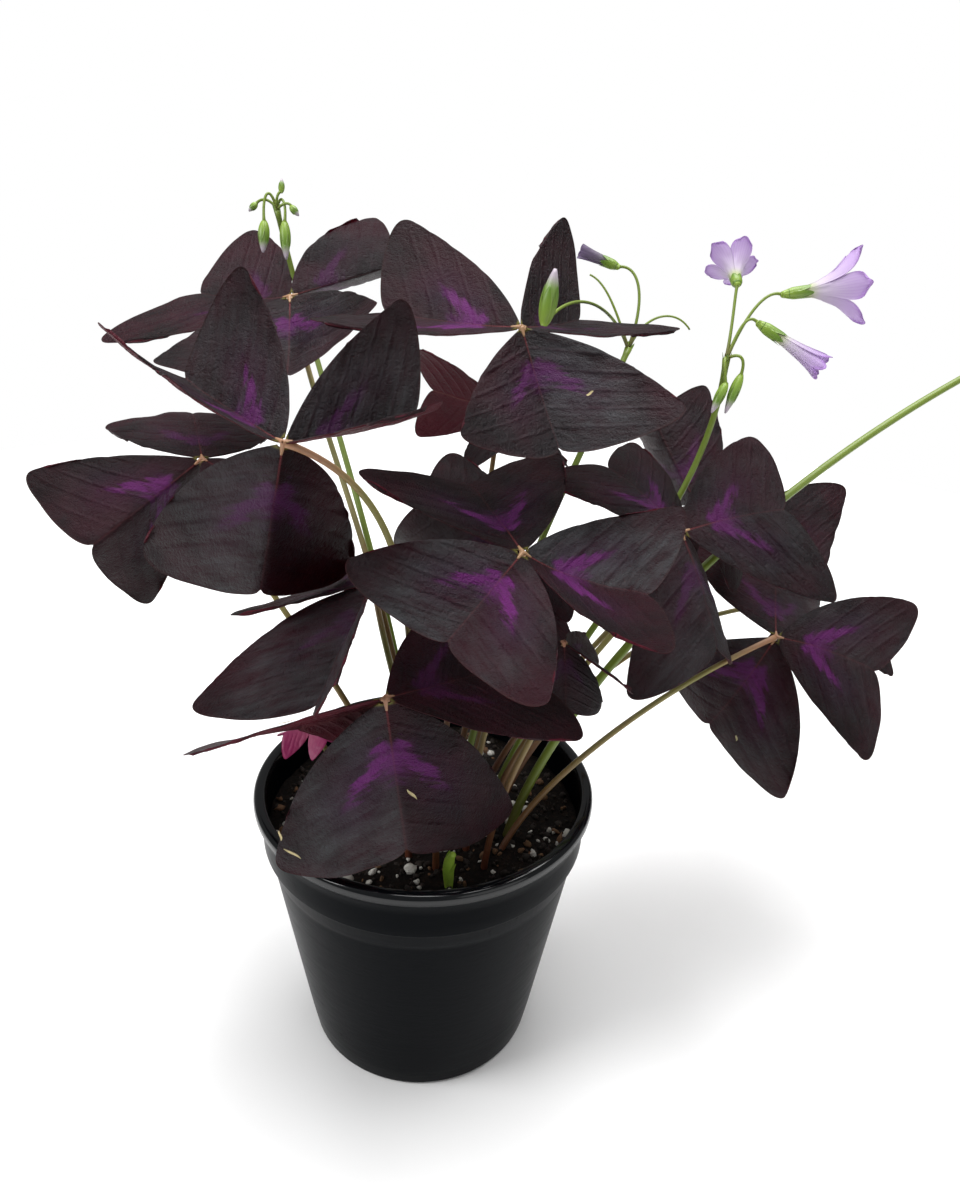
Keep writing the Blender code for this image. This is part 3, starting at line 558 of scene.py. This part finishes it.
def add_umbel(umbel, green):
    """One stem with its swollen top, small bracts, pedicels, buds and calyces."""
    batch = Batch()
    path = peduncle_path(umbel)
    run = np.linspace(0, 1, len(path))
    radii = umbel.girth * (1 - (1 - PEDUNCLE_TAPER) * run) * (1 + 0.35 * np.exp(-(1 - run) / 0.012))
    tube(batch, path, radii, 16, (0, 0, 0))
    axes = axis_frame(path[-1] - path[-2])
    for k in range(4):
        scale_leaf(batch, path[-1] - axes[0] * 0.6, axes, k * 1.57, 2.6, 0.5,
                   lambda run: 0.8 + 0.5 * run, (0.2, 0, 0), 0.05, rows=6, columns=5)
    for pedicel in umbel.pedicels:
        curve = pedicel_path(umbel, pedicel)
        steps = np.linspace(0, 1, len(curve))
        swell = 0.42 + 0.18 * np.exp(-steps / 0.1)
        swell = swell + (0.2 * np.exp(-(1 - steps) / 0.05) if pedicel.carries else -0.15 * steps)
        tube(batch, curve, swell, 10, (0, 0.5, 0))
        if pedicel.carries == "bud":
            add_bud(batch, pedicel.end, pedicel.aim, pedicel.length, pedicel.width / 2)
        if pedicel.carries == "calyx":
            add_calyx(batch, pedicel.end, pedicel.aim, pedicel.length, pedicel.width / 2)
    batch.piece(f"{umbel.name}_flower_stem", green, "flower_green", f"umbel_{umbel.name}_stem")


def add_flower(flower, lilac):
    """Five petals in a funnel: each widens from a narrow claw to a round lobe at the mouth."""
    umbel = next(item for item in UMBELS if item.name == flower.umbel)
    pedicel = umbel.pedicels[flower.pedicel]
    axis, side, other = axis_frame(pedicel.aim)
    hidden = 0.55 * pedicel.length
    base = np.array(pedicel.end) + axis * (pedicel.length - PEDICEL_OVERLAP - hidden)
    batch = Batch()
    length = flower.length + hidden
    for k in range(5):
        run, across = np.meshgrid(np.linspace(0, 1, 26), np.linspace(-1, 1, 17), indexing="ij")
        tube_radius = 1.15 + (flower.mouth - 1.15) * run ** 2.1
        breadth = (0.66 + 0.03 * k) * (1 - 0.12 * flower.lobing * run)
        lobe = np.sqrt(np.clip(1 - np.clip((run - 0.60) / 0.40, 0, 1) ** 2.2, 0.0, 1))
        lobe = 1 - flower.lobing * (1 - lobe) * 0.97
        turn = k * FIFTH + across * breadth * lobe
        reach = length * (run - 0.10 * flower.lobing * run ** 3 * across ** 2)
        radius = tube_radius * (1 - 0.10 * flower.lobing * across ** 2 * run)
        radius = radius + 0.10 * (k % 2) + 0.35 * across * run
        place = triples(run * 3 + k, across, k)
        radius = radius + flower.mouth * 0.05 * noise(place, 0.6, 9) * run
        outward = np.cos(turn)[..., None] * side + np.sin(turn)[..., None] * other
        middle = base + reach[..., None] * axis + outward * radius[..., None]
        normal = unit(np.cross(np.gradient(middle, axis=1), np.gradient(middle, axis=0)))
        flat = triples(run, across, 0.0)
        sheet(batch, middle, normal, np.full_like(run, 0.22), flat, (0.2 * k, flower.dry, 0))
    batch.piece(f"{flower.name}_flower", lilac, "petal_lilac", f"flower_{flower.name}")


class Signal:
    """A shader socket used in sums and products: each operator adds one Math node."""

    def __init__(self, shade, socket):
        self.shade = shade
        self.socket = socket

    def math(self, operation, *values):
        return self.shade.node("ShaderNodeMath", {"operation": operation}, values)

    def __add__(self, other):
        return self.math("ADD", self, other)

    def __radd__(self, other):
        return self.math("ADD", other, self)

    def __sub__(self, other):
        return self.math("SUBTRACT", self, other)

    def __rsub__(self, other):
        return self.math("SUBTRACT", other, self)

    def __mul__(self, other):
        return self.math("MULTIPLY", self, other)

    def __rmul__(self, other):
        return self.math("MULTIPLY", other, self)

    def __pow__(self, other):
        return self.math("POWER", self, other)

    def __abs__(self):
        return self.math("ABSOLUTE", self)

    def cos(self):
        return self.math("COSINE", self)

    def least(self, other):
        return self.math("MINIMUM", self, other)

    def most(self, other):
        return self.math("MAXIMUM", self, other)


class Finish:
    """One material and the ways its nodes are made."""

    def __init__(self, name):
        self.material = bpy.data.materials.new(name)
        self.material.use_nodes = True
        self.tree = self.material.node_tree
        self.shader = self.tree.nodes["Principled BSDF"]
        self.output = self.tree.nodes["Material Output"]

    def node(self, kind, settings=None, values=(), result=0):
        """A node of this kind: its settings and ramp stops first, then the values or links of its sockets."""
        node = self.tree.nodes.new(kind)
        for key, value in (settings or {}).items():
            if key == "stops":
                self.stops(node.color_ramp, value)
            else:
                setattr(node, key, value)
        pairs = values.items() if isinstance(values, dict) else enumerate(values)
        for key, value in pairs:
            self.feed(node.inputs[key], value)
        return Signal(self, node.outputs[result])

    def stops(self, ramp, stops):
        """Sets a ramp's places and colours."""
        while len(ramp.elements) < len(stops):
            ramp.elements.new(1.0)
        for element, (place, colour) in zip(ramp.elements, stops):
            element.position = place
            element.color = (*colour, 1.0)

    def feed(self, socket, value):
        """Links a signal to a socket, or sets the socket's own value."""
        if isinstance(value, Signal):
            self.tree.links.new(value.socket, socket)
        elif socket.type == "RGBA" and len(value) == 3:
            socket.default_value = (*value, 1.0)
        else:
            socket.default_value = value

    def attribute(self, name):
        """The three numbers stored at each point of the mesh under this name."""
        vector = self.node("ShaderNodeAttribute", {"attribute_name": name}, (), "Vector")
        return self.split(vector)

    def split(self, vector):
        """The three parts of a vector."""
        first = self.node("ShaderNodeSeparateXYZ", None, [vector])
        outputs = first.socket.node.outputs
        return tuple(Signal(self, outputs[k]) for k in range(3))

    def vector(self, x, y, z=0.0):
        """A vector from three signals or numbers."""
        return self.node("ShaderNodeCombineXYZ", None, [x, y, z])

    def place(self):
        """Object coordinates, in metres."""
        return self.node("ShaderNodeTexCoord", None, (), "Object")

    def noise(self, vector, scale, detail=2.0, roughness=0.5):
        """Fractal noise from 0 to 1."""
        values = {"Vector": vector, "Scale": scale, "Detail": detail, "Roughness": roughness}
        return self.node("ShaderNodeTexNoise", None, values, "Fac")

    def cells(self, vector, scale):
        """Distance to the nearest of scattered points."""
        return self.node("ShaderNodeTexVoronoi", None, {"Vector": vector, "Scale": scale}, "Distance")

    def step(self, value, low, high):
        """0 below low, 1 above high, and smooth between them."""
        values = {"Value": value, "From Min": low, "From Max": high}
        return self.node("ShaderNodeMapRange", {"interpolation_type": "SMOOTHSTEP"}, values, "Result")

    def mix(self, share, first, second):
        """The first colour at share 0 and the second at share 1."""
        return self.node("ShaderNodeMix", {"data_type": "RGBA"}, {0: share, 6: first, 7: second}, 2)

    def ramp(self, value, stops):
        """A colour ramp."""
        return self.node("ShaderNodeValToRGB", {"stops": stops}, [value], "Color")

    def bump(self, height, strength, distance):
        """A normal from a height between 0 and 1, worth this many metres."""
        values = {"Strength": strength, "Distance": distance, "Height": height}
        return self.node("ShaderNodeBump", None, values, "Normal")

    def set(self, **values):
        """Sets or links the main shader's sockets by name."""
        for key, value in values.items():
            self.feed(self.shader.inputs[key.replace("_", " ").title().replace("Ior", "IOR")], value)

    def see_through(self, colour, share, normal=None):
        """Lets light through the sheet: a translucent part mixed in by share."""
        values = {"Color": colour}
        if normal:
            values["Normal"] = normal
        glow = self.node("ShaderNodeBsdfTranslucent", None, values)
        opaque = Signal(self, self.shader.outputs[0])
        both = self.node("ShaderNodeMixShader", None, {0: share, 1: opaque, 2: glow})
        self.feed(self.output.inputs["Surface"], both)


def leaf_finish():
    """Near-black purple with a soft gloss and a grey sheen painted into the face colour, sunk veins, a fine
    midrib and the magenta arrow; burgundy below.

    The arrow starts on the midrib a fifth of the way out, and its arms run beside the straight edges.
    """
    f = Finish("purple_leaf")
    x, y, upper = f.attribute("flat")
    # tint holds the arrow's strength, the share of painted sheen and the distance to the edge
    mark, painted_sheen, edge = f.attribute("tint")
    a = abs(y)
    lateral = x + 0.12 - 0.62 * a ** 1.1
    feather = f.noise(f.vector(lateral * 16, a * 3.0, mark * 47), 2.2, 4.0, 0.65)
    blotch = f.noise(f.place(), 75, 4.0, 0.6)
    reach = x - 0.19
    run = reach * 0.79 + a * 0.61
    off = abs(a * 0.79 - reach * 0.61)
    ragged = feather - 0.5
    breadth = 0.048 - 0.065 * run + 0.15 * ragged + 0.05 * (blotch - 0.5)
    arrow = f.step(breadth - off, -0.010, 0.022) * f.step(run + 0.06 * ragged, 0.0, 0.04)
    arrow = arrow * (1 - f.step(run + 0.34 * ragged + 0.20 * (blotch - 0.5), 0.30, 0.46))
    heart = (1 - f.step(a, 0.02, 0.13)) * f.step(x + 0.08 * ragged, 0.19, 0.24)
    heart = heart * (1 - f.step(x + 0.30 * ragged, 0.28, 0.42))
    arrow = arrow.most(heart * 0.85) * mark
    halo = (1 - f.step(off, 0.02, 0.20)) * f.step(run, 0.0, 0.12) * (1 - f.step(run, 0.35, 0.65)) * mark
    vein = abs((lateral * 26.7).cos()) ** 18 * f.step(a, 0.0, 0.03) * (1 - f.step(edge, 0.86, 0.98))
    near_rib = 1 - f.step(a, 0.002, 0.007)
    near_hub = 1 - f.step(x, 0.03, 0.30)
    star = 1 - f.step(x, 0.020, 0.038)

    patch = f.step(f.noise(f.place(), 42, 4.0, 0.6), 0.36, 0.66)
    streak = f.noise(f.vector(lateral * 9, a * 2.2, mark * 31), 2.0, 4.0, 0.7)
    # Painted sheen: a grey reflection painted into the face colour, set per half, broken up by noise and
    # fading towards the margins
    painted_sheen_share = painted_sheen * (0.50 + 1.3 * (blotch - 0.5) + 2.2 * (streak - 0.5)) * (1 - 0.75 * f.step(a, 0.34, 0.56))
    face = f.mix(patch, (0.0035, 0.0007, 0.0018), (0.0230, 0.0024, 0.0070))
    face = f.mix(painted_sheen_share.most(0.0).least(1.0), face, (0.060, 0.061, 0.066))
    face = f.mix(0.30 * halo, face, (0.040, 0.005, 0.036))
    face = f.mix(arrow * (0.55 + 0.6 * feather), face, (0.130, 0.015, 0.135))
    face = f.mix(vein * (0.06 + 0.22 * near_hub), face, (0.05, 0.008, 0.022))
    face = f.mix(near_rib * (0.16 + 0.75 * near_hub), face, (0.16, 0.030, 0.035))
    face = f.mix(f.step(edge, 0.982, 1.0) * 0.30, face, (0.060, 0.026, 0.024))
    face = f.mix(star * 0.85, face, (0.24, 0.22, 0.045))
    back = f.mix(blotch, (0.034, 0.0022, 0.0075), (0.120, 0.007, 0.020))
    back = f.mix(vein * 0.18, back, (0.11, 0.012, 0.022))
    back = f.mix(near_rib * 0.8, back, (0.22, 0.055, 0.040))
    colour = f.mix(upper, back, face)

    fine = f.noise(f.vector(lateral * 34, a * 12, mark * 19), 1.6, 5.0, 0.7)
    wide = f.noise(f.vector(lateral * 15, a * 9, mark * 29), 1.5, 3.0, 0.6)
    pleat = f.noise(f.vector(x * 9, y * 9, mark * 13), 2.2, 4.0, 0.75)
    grain = f.noise(f.place(), 2600, 2.0, 0.6)
    height = fine * 0.35 + wide * 0.45 + abs(pleat - 0.5) * 1.6 + grain * 0.16 - vein * 0.30
    normal = f.bump(height, 1.0, 0.00120)
    f.set(base_color=colour, roughness=0.30 + 0.14 * blotch + 0.16 * fine, normal=normal)
    f.set(specular_ior_level=0.17)
    f.see_through((0.36, 0.004, 0.014), 0.15, normal)
    return f.material


def young_leaf_finish():
    """Bright pink with a paler base and darker patches."""
    f = Finish("young_pink_leaf")
    x, y, upper = f.attribute("flat")
    patch = f.noise(f.vector(x, y, 2.0), 6.0, 3.0)
    colour = f.mix(f.step(x, 0.0, 0.8), (0.50, 0.12, 0.22), (0.36, 0.030, 0.14))
    colour = f.mix(patch * 0.5, colour, (0.30, 0.02, 0.12))
    f.set(base_color=colour, roughness=0.42, normal=f.bump(f.noise(f.place(), 1800, 3.0), 0.3, 0.0003))
    f.see_through((0.50, 0.05, 0.18), 0.3)
    return f.material


def stalk_finish():
    """Brown-red at the soil, then tan and olive, yellow-green above, and pink at the hub."""
    f = Finish("leaf_stalk")
    run, angle, radius = f.attribute("flat")
    hue, shift, unused = f.attribute("tint")
    mottle = f.noise(f.place(), 260, 4.0, 0.6)
    climb = run + 0.10 * (mottle - 0.5) + 0.16 * (shift - 0.5)
    low = f.ramp(climb, (
        (0.00, (0.060, 0.012, 0.008)),
        (0.14, (0.130, 0.036, 0.016)),
        (0.32, (0.165, 0.095, 0.030)),
        (0.55, (0.190, 0.170, 0.044)),
        (0.85, (0.215, 0.225, 0.058)),
        (1.00, (0.360, 0.220, 0.110))))
    colour = f.mix(hue * 0.55, low, f.ramp(climb, (
        (0.00, (0.075, 0.014, 0.010)),
        (0.40, (0.190, 0.080, 0.030)),
        (0.80, (0.220, 0.140, 0.045)),
        (1.00, (0.300, 0.070, 0.060)))))
    ribs = f.noise(f.vector(run * 5, angle * 26, shift), 1.0, 2.0)
    colour = f.mix(f.step(mottle, 0.58, 0.75) * 0.35, colour, (0.16, 0.04, 0.03))
    normal = f.bump(ribs * 0.6 + mottle * 0.4, 0.4, 0.0002)
    f.set(base_color=colour, roughness=0.38 + 0.2 * mottle, normal=normal)
    f.set(subsurface_weight=0.12, subsurface_radius=(0.003, 0.002, 0.0008), subsurface_scale=0.4)
    return f.material


def green_finish():
    """Fresh yellow-green stems; sepals a deeper green with pale tips; bud tips lilac."""
    f = Finish("fresh_green")
    run, across, inner = f.attribute("flat")
    kind, shift, fresh = f.attribute("tint")
    mottle = f.noise(f.place(), 320, 3.0, 0.6)
    stem = f.mix(f.step(run, 0.0, 0.25), (0.120, 0.095, 0.022), (0.165, 0.235, 0.026))
    stem = f.mix(mottle * 0.35, stem, (0.115, 0.170, 0.018))
    sepal = f.mix(run, (0.240, 0.360, 0.040), (0.080, 0.170, 0.014))
    sepal = f.mix(f.step(abs(across), 0.75, 1.0) * 0.4, sepal, (0.26, 0.34, 0.10))
    tip = f.mix(f.step(run, 0.62, 0.92), (0.16, 0.27, 0.04), (0.42, 0.36, 0.42))
    colour = f.mix(f.step(kind, 0.1, 0.25), stem, sepal)
    colour = f.mix(f.step(kind, 0.7, 0.9), colour, tip)
    colour = f.mix(fresh, colour, f.mix(mottle, (0.24, 0.46, 0.03), (0.50, 0.72, 0.10)))
    f.set(base_color=colour, roughness=0.36 + 0.10 * mottle, normal=f.bump(mottle, 0.12, 0.0001))
    return f.material


def petal_finish():
    """Pale lilac with fine violet veins and edges, and a yellow-green throat."""
    f = Finish("lilac_petal")
    run, across, inner = f.attribute("flat")
    shift, dry, unused = f.attribute("tint")
    streak = f.noise(f.vector(across * 14, run * 1.2, shift * 9), 1.2, 3.0, 0.6)
    vein = abs((across * 15.0 + streak * 1.2).cos()) ** 10
    colour = f.mix(f.step(run, 0.30, 0.95), (0.74, 0.68, 0.76), (0.60, 0.44, 0.74))
    colour = f.mix(vein * 0.45 * f.step(run, 0.2, 0.6), colour, (0.46, 0.24, 0.62))
    colour = f.mix(f.step(run + 0.1 * abs(across), 0.90, 1.02) * 0.7, colour, (0.42, 0.20, 0.62))
    colour = f.mix((1 - f.step(run, 0.12, 0.42)), colour, (0.55, 0.66, 0.22))
    colour = f.mix(dry, colour, f.mix(streak, (0.020, 0.018, 0.032), (0.110, 0.090, 0.130)))
    f.set(base_color=colour, roughness=0.55, normal=f.bump(streak, 0.3, 0.0003))
    f.set(sheen_weight=0.2, sheen_roughness=0.4, sheen_tint=(1.0, 0.95, 1.0))
    f.see_through((0.72, 0.60, 0.82), 0.35)
    return f.material


def pot_finish():
    """Thin black moulded plastic: a glossy rim, faint scuffs, and dust and dried splashes."""
    f = Finish("black_plastic")
    place = f.place()
    x, y, z = f.split(place)
    scuff = f.noise(f.vector(x, y, z * 9.0), 70, 5.0, 0.65)
    ripple = f.noise(place, 900, 2.0, 0.5)
    dust = f.noise(place, 160, 6.0, 0.7)
    colour = f.mix(f.step(dust, 0.62, 0.80) * 0.35, (0.0011, 0.0017, 0.0026), (0.011, 0.011, 0.011))
    colour = f.mix(f.step(scuff, 0.66, 0.78) * 0.25, colour, (0.005, 0.006, 0.008))
    f.set(base_color=colour, roughness=0.22 + 0.20 * scuff + 0.25 * f.step(dust, 0.6, 0.8))
    f.set(normal=f.bump(ripple * 0.4 + scuff * 0.6, 0.15, 0.0004), specular_ior_level=0.03)
    f.set(coat_weight=0.75 * f.step(z, 0.0840, 0.0862), coat_roughness=0.10)
    return f.material


def soil_finish():
    """Near-black moist peat with brown fibres."""
    f = Finish("potting_mix")
    place = f.place()
    crumb = f.noise(place, 420, 6.0, 0.7)
    bit = f.cells(place, 700)
    colour = f.ramp(crumb, (
        (0.30, (0.0020, 0.0013, 0.0010)),
        (0.52, (0.0055, 0.0034, 0.0024)),
        (0.70, (0.022, 0.012, 0.007)),
        (0.85, (0.060, 0.034, 0.018))))
    f.set(base_color=colour, roughness=0.8, specular_ior_level=0.15)
    f.set(normal=f.bump(crumb * 0.7 + bit * 0.3, 0.9, 0.0012))
    return f.material


def grain_finish():
    """Loose bits: tint x picks white perlite, tan bark or dark crumbs."""
    f = Finish("soil_bits")
    place = f.place()
    kind = f.attribute("tint")[0]
    rough = f.noise(place, 900, 5.0, 0.7)
    white = f.mix(rough, (0.42, 0.40, 0.34), (0.86, 0.85, 0.80))
    bark = f.mix(rough, (0.06, 0.026, 0.011), (0.24, 0.13, 0.06))
    dark = f.mix(rough, (0.003, 0.002, 0.0015), (0.026, 0.015, 0.009))
    colour = f.mix(f.step(kind, 0.2, 0.3), dark, bark)
    colour = f.mix(f.step(kind, 0.7, 0.8), colour, white)
    f.set(base_color=colour, roughness=0.8, normal=f.bump(rough, 0.8, 0.0005))
    return f.material


def straw_finish():
    """Dry straw-coloured scraps."""
    f = Finish("dry_straw")
    colour = f.mix(f.noise(f.place(), 900, 3.0), (0.30, 0.22, 0.10), (0.62, 0.52, 0.28))
    f.set(base_color=colour, roughness=0.7)
    return f.material


def lathe(batch, profile, sides, tint=(0, 0, 0)):
    """A profile of radius and height turned round Z."""
    profile = np.asarray(profile, float)
    angles = full_turn(sides)
    points = np.stack((
        profile[:, None, 0] * np.cos(angles),
        profile[:, None, 0] * np.sin(angles),
        np.broadcast_to(profile[:, None, 1], (len(profile), sides))), axis=-1)
    flat = np.stack(np.broadcast_arrays(np.linspace(0, 1, len(profile))[:, None], angles[None], 0.0), axis=-1)
    batch.grid(points, flat, tint, wrap=True)


def arc(centre, radius, start, end, steps=6):
    """Points of a circular corner in a profile, by degrees."""
    angles = np.radians(np.linspace(start, end, steps))
    return np.stack((centre[0] + radius * np.cos(angles), centre[1] + radius * np.sin(angles)), axis=-1)


def add_pot(black):
    """The pot: a closed profile with soft corners, turned round Z, with round drain holes in its floor."""
    step = POT_HEIGHT - COLLAR_DEPTH
    profile = np.concatenate((
        [(0.01, 0.0), (12.0, 0.0), (24.0, 0.0)],
        arc((BASE_RADIUS - 1.6, 1.6), 1.6, -90, -10),
        np.linspace((BASE_RADIUS + 0.3, 2.4), (STEP_RADIUS, step - 0.3), 12)[1:-1],
        arc((STEP_RADIUS + 0.25, step + 0.1), 0.3, -160, -80, 3),
        arc((COLLAR_RADIUS - 0.9, step + 0.9), 0.7, -70, 0, 4),
        [(COLLAR_RADIUS - 0.10, step + 4), (COLLAR_RADIUS, step + 8),
         (COLLAR_RADIUS + 0.1, POT_HEIGHT - 4.4)],
        arc((RIM_RADIUS - 1.2, POT_HEIGHT - 2.5), 1.2, -80, 0, 5),
        arc((RIM_RADIUS - 1.6, POT_HEIGHT - 1.6), 1.6, 0, 90, 7),
        arc((COLLAR_RADIUS - WALL + 0.8, POT_HEIGHT - 0.8), 0.8, 90, 180, 4),
        [(COLLAR_RADIUS - WALL - 0.2, POT_HEIGHT - 6), (COLLAR_RADIUS - WALL - 0.4, step + 0.8)],
        [(STEP_RADIUS - WALL, step), (BASE_RADIUS - WALL, 2.0), (12, 2.0), (0.01, 2.0)]))
    batch = Batch()
    lathe(batch, profile, 144)
    pot = batch.piece("black_pot", black, "pot_black", "pot")
    drills = Batch()
    for k in range(6):
        angle = 2 * math.pi * (k + 0.5) / 6
        centre = np.array((24 * math.cos(angle), 24 * math.sin(angle), 0))
        tube(drills, centre + np.array([(0, 0, z) for z in (-2, 0.5, 3)]), 4.0, 32)
    guide_mesh = drills.piece("drain_guides", black, "pot_black")
    holes = pot.modifiers.new("drains", "BOOLEAN")
    holes.operation = "DIFFERENCE"
    holes.object = guide_mesh
    shape = bpy.data.meshes.new_from_object(pot.evaluated_get(bpy.context.evaluated_depsgraph_get()))
    pot.modifiers.clear()
    pot.data = shape
    bpy.data.objects.remove(guide_mesh)


def soil_height(x, y):
    """Height of the soil: nearly level, sunk at the edge, with crumbs and lumps of several sizes."""
    radius = np.hypot(x, y)
    place = triples(x, y, 0.0)
    lumps = 0.9 * noise(place, 9, 21) + 0.55 * noise(place, 3.6, 22) + 0.3 * noise(place, 1.5, 23)
    return SOIL_TOP - 1.6 * (radius / SOIL_EDGE) ** 3 + lumps * 0.8


def add_soil(brown, bits):
    """The potting mix: a closed plug with a crumbly top, and the loose bits that lie on it."""
    batch = Batch()
    rings = np.linspace(0.001, 1, 64)
    angles = full_turn(200)
    x = SOIL_EDGE * rings[:, None] * np.cos(angles)
    y = SOIL_EDGE * rings[:, None] * np.sin(angles)
    top = triples(x, y, soil_height(x, y))
    low = np.array([(SOIL_EDGE, 74.0), (STEP_RADIUS - WALL - 0.5, 71.0),
                    (BASE_RADIUS - WALL - 0.8, 2.6), (0.02, 2.6)])
    walls = np.stack((
        low[:, None, 0] * np.cos(angles),
        low[:, None, 0] * np.sin(angles),
        np.broadcast_to(low[:, None, 1], (len(low), len(angles)))), axis=-1)
    points = np.concatenate((top, walls))
    batch.grid(points, np.zeros(3), wrap=True, flip=True)
    batch.piece("potting_mix", brown, "soil_brown", "soil")
    scatter(bits)


def lump(sides, rows):
    """A unit ball as a grid of rows and columns."""
    tilt = np.linspace(0.02, math.pi - 0.02, rows)[:, None]
    turn = full_turn(sides)
    return triples(np.sin(tilt) * np.cos(turn), np.sin(tilt) * np.sin(turn), np.cos(tilt))


def scatter(bits):
    """Crumbs, bark and perlite: unit balls stretched, turned, dented by noise and half sunk in the soil."""
    batch = Batch()
    for count, small, large, kind in GRAINS:
        angle = CHANCE.uniform(0, 2 * math.pi, count)
        radius = (SOIL_EDGE - 1.6) * np.sqrt(CHANCE.uniform(0.0, 1, count))
        size = small + (large - small) * CHANCE.uniform(0, 1, count) ** 2
        x, y = radius * np.cos(angle), radius * np.sin(angle)
        z = soil_height(x, y) + size * 0.25
        stretch = CHANCE.uniform(0.55, 1.35, (count, 3)) * (1, 1, 0.8)
        for k in range(count):
            ball = lump(9, 6) if kind else lump(7, 5)
            ball = ball * (1 + 0.55 * noise(ball + k * 3.1, 0.8, 30)[..., None])
            turn, slope = CHANCE.uniform(0, 6.28, 2)
            spin = np.array(Matrix.Rotation(turn, 3, "Z") @ Matrix.Rotation(slope, 3, "X"))
            points = (ball * stretch[k]) @ spin.T * size[k] + (x[k], y[k], z[k])
            batch.grid(points, np.zeros(3), (kind, 0, 0), wrap=True, flip=True)
    batch.piece("loose_bits", bits, "soil_brown")


def add_sprout(green):
    """The short shoot: a fat tapered rod with three folded leaf tips."""
    batch = Batch()
    path = bezier(SPROUT, 20)
    run = np.linspace(0, 1, len(path))
    tube(batch, path, 1.0 + 0.7 * np.sin(run * math.pi * 0.75) - 0.7 * run ** 3, 14, (0.3, 0, 1))
    axes = axis_frame(path[13] - path[12])
    for k in range(3):
        scale_leaf(batch, path[5 + 3 * k], axes, k * 2.2, 4.0, 1.0,
                   lambda run: 1.1 + 0.6 * run, (0.3, 0.3, 1), 0.1)
    batch.piece("green_sprout", green, "flower_green", "sprout")


def stage():
    """A round white floor, soft studio lights, and the camera at the photograph's height and tilt."""
    mesh = bpy.data.meshes.new("floor")
    angles = full_turn(FLOOR_SIDES)
    ring = [(FLOOR_RADIUS * math.cos(angle), FLOOR_RADIUS * math.sin(angle), 0.0) for angle in angles]
    mesh.from_pydata(ring, [], [range(FLOOR_SIDES)])
    floor = bpy.data.objects.new("floor", mesh)
    bpy.context.scene.collection.objects.link(floor)
    f = Finish("pale_floor")
    f.set(base_color=(0.96, 0.96, 0.96), roughness=0.9)
    mesh.materials.append(f.material)
    world = bpy.data.worlds.new("studio")
    world.use_nodes = True
    sky = world.node_tree.nodes["Background"]
    sky.inputs["Color"].default_value = (1.0, 1.0, 1.0, 1.0)
    seen = world.node_tree.nodes.new("ShaderNodeLightPath")
    strength = world.node_tree.nodes.new("ShaderNodeMapRange")
    strength.inputs["To Min"].default_value = SKY_STRENGTH
    world.node_tree.links.new(seen.outputs["Is Camera Ray"], strength.inputs["Value"])
    world.node_tree.links.new(strength.outputs["Result"], sky.inputs["Strength"])
    bpy.context.scene.world = world
    bpy.context.scene.view_settings.view_transform = "Standard"
    lights = (
        ("overhead", (0.10, 0.25, 1.30), (0.02, 0.0, 0.15), 1.2, 26.0),
        ("window", (-0.9, -0.35, 0.85), (0, 0, 0.15), 0.6, 9.0),
        ("fill", (0.8, -0.8, 0.5), (0, 0, 0.12), 0.9, 2.0))
    for name, place, target, size, power in lights:
        data = bpy.data.lights.new(name, "AREA")
        data.shape = "DISK"
        data.size = size
        data.energy = power
        lamp = bpy.data.objects.new(name, data)
        away = unit(np.array(place) - np.array(target))
        right = unit(np.cross((0.0, 1.0, 0.001), away))
        up = np.cross(away, right)
        turn = Matrix([(*row, 0) for row in np.stack((right, up, away), axis=1)] + [(0, 0, 0, 1)])
        lamp.matrix_world = Matrix.Translation(place) @ turn
        bpy.context.scene.collection.objects.link(lamp)
    tilt = math.radians(CAMERA_TILT)
    roll = math.radians(CAMERA_ROLL)
    level = np.array((1.0, 0.0, 0.0))
    rise = np.array((0.0, math.sin(tilt), math.cos(tilt)))
    back = -np.array((0.0, math.cos(tilt), -math.sin(tilt)))
    right = math.cos(roll) * level - math.sin(roll) * rise
    up = math.sin(roll) * level + math.cos(roll) * rise
    data = bpy.data.cameras.new("camera")
    data.lens = CAMERA_LENS
    data.sensor_width = 36
    data.clip_start = 0.01
    camera = bpy.data.objects.new("camera", data)
    turn = Matrix([(*row, 0) for row in np.stack((right, up, back), axis=1)] + [(0, 0, 0, 1)])
    camera.matrix_world = Matrix.Translation(CAMERA_PLACE) @ turn
    bpy.context.scene.collection.objects.link(camera)
    bpy.context.scene.camera = camera


def main():
    stage()
    purple = leaf_finish()
    stalk = stalk_finish()
    green = green_finish()
    lilac = petal_finish()
    for leaf in LEAVES:
        add_leaf(leaf, purple, stalk, "leaf_purple")
    add_leaf(YOUNG_LEAF, young_leaf_finish(), stalk, "young_pink")
    for umbel in UMBELS:
        add_umbel(umbel, green)
    for flower in FLOWERS:
        add_flower(flower, lilac)
    add_sprout(green)
    add_scraps(straw_finish())
    add_pot(pot_finish())
    add_soil(soil_finish(), grain_finish())


main()
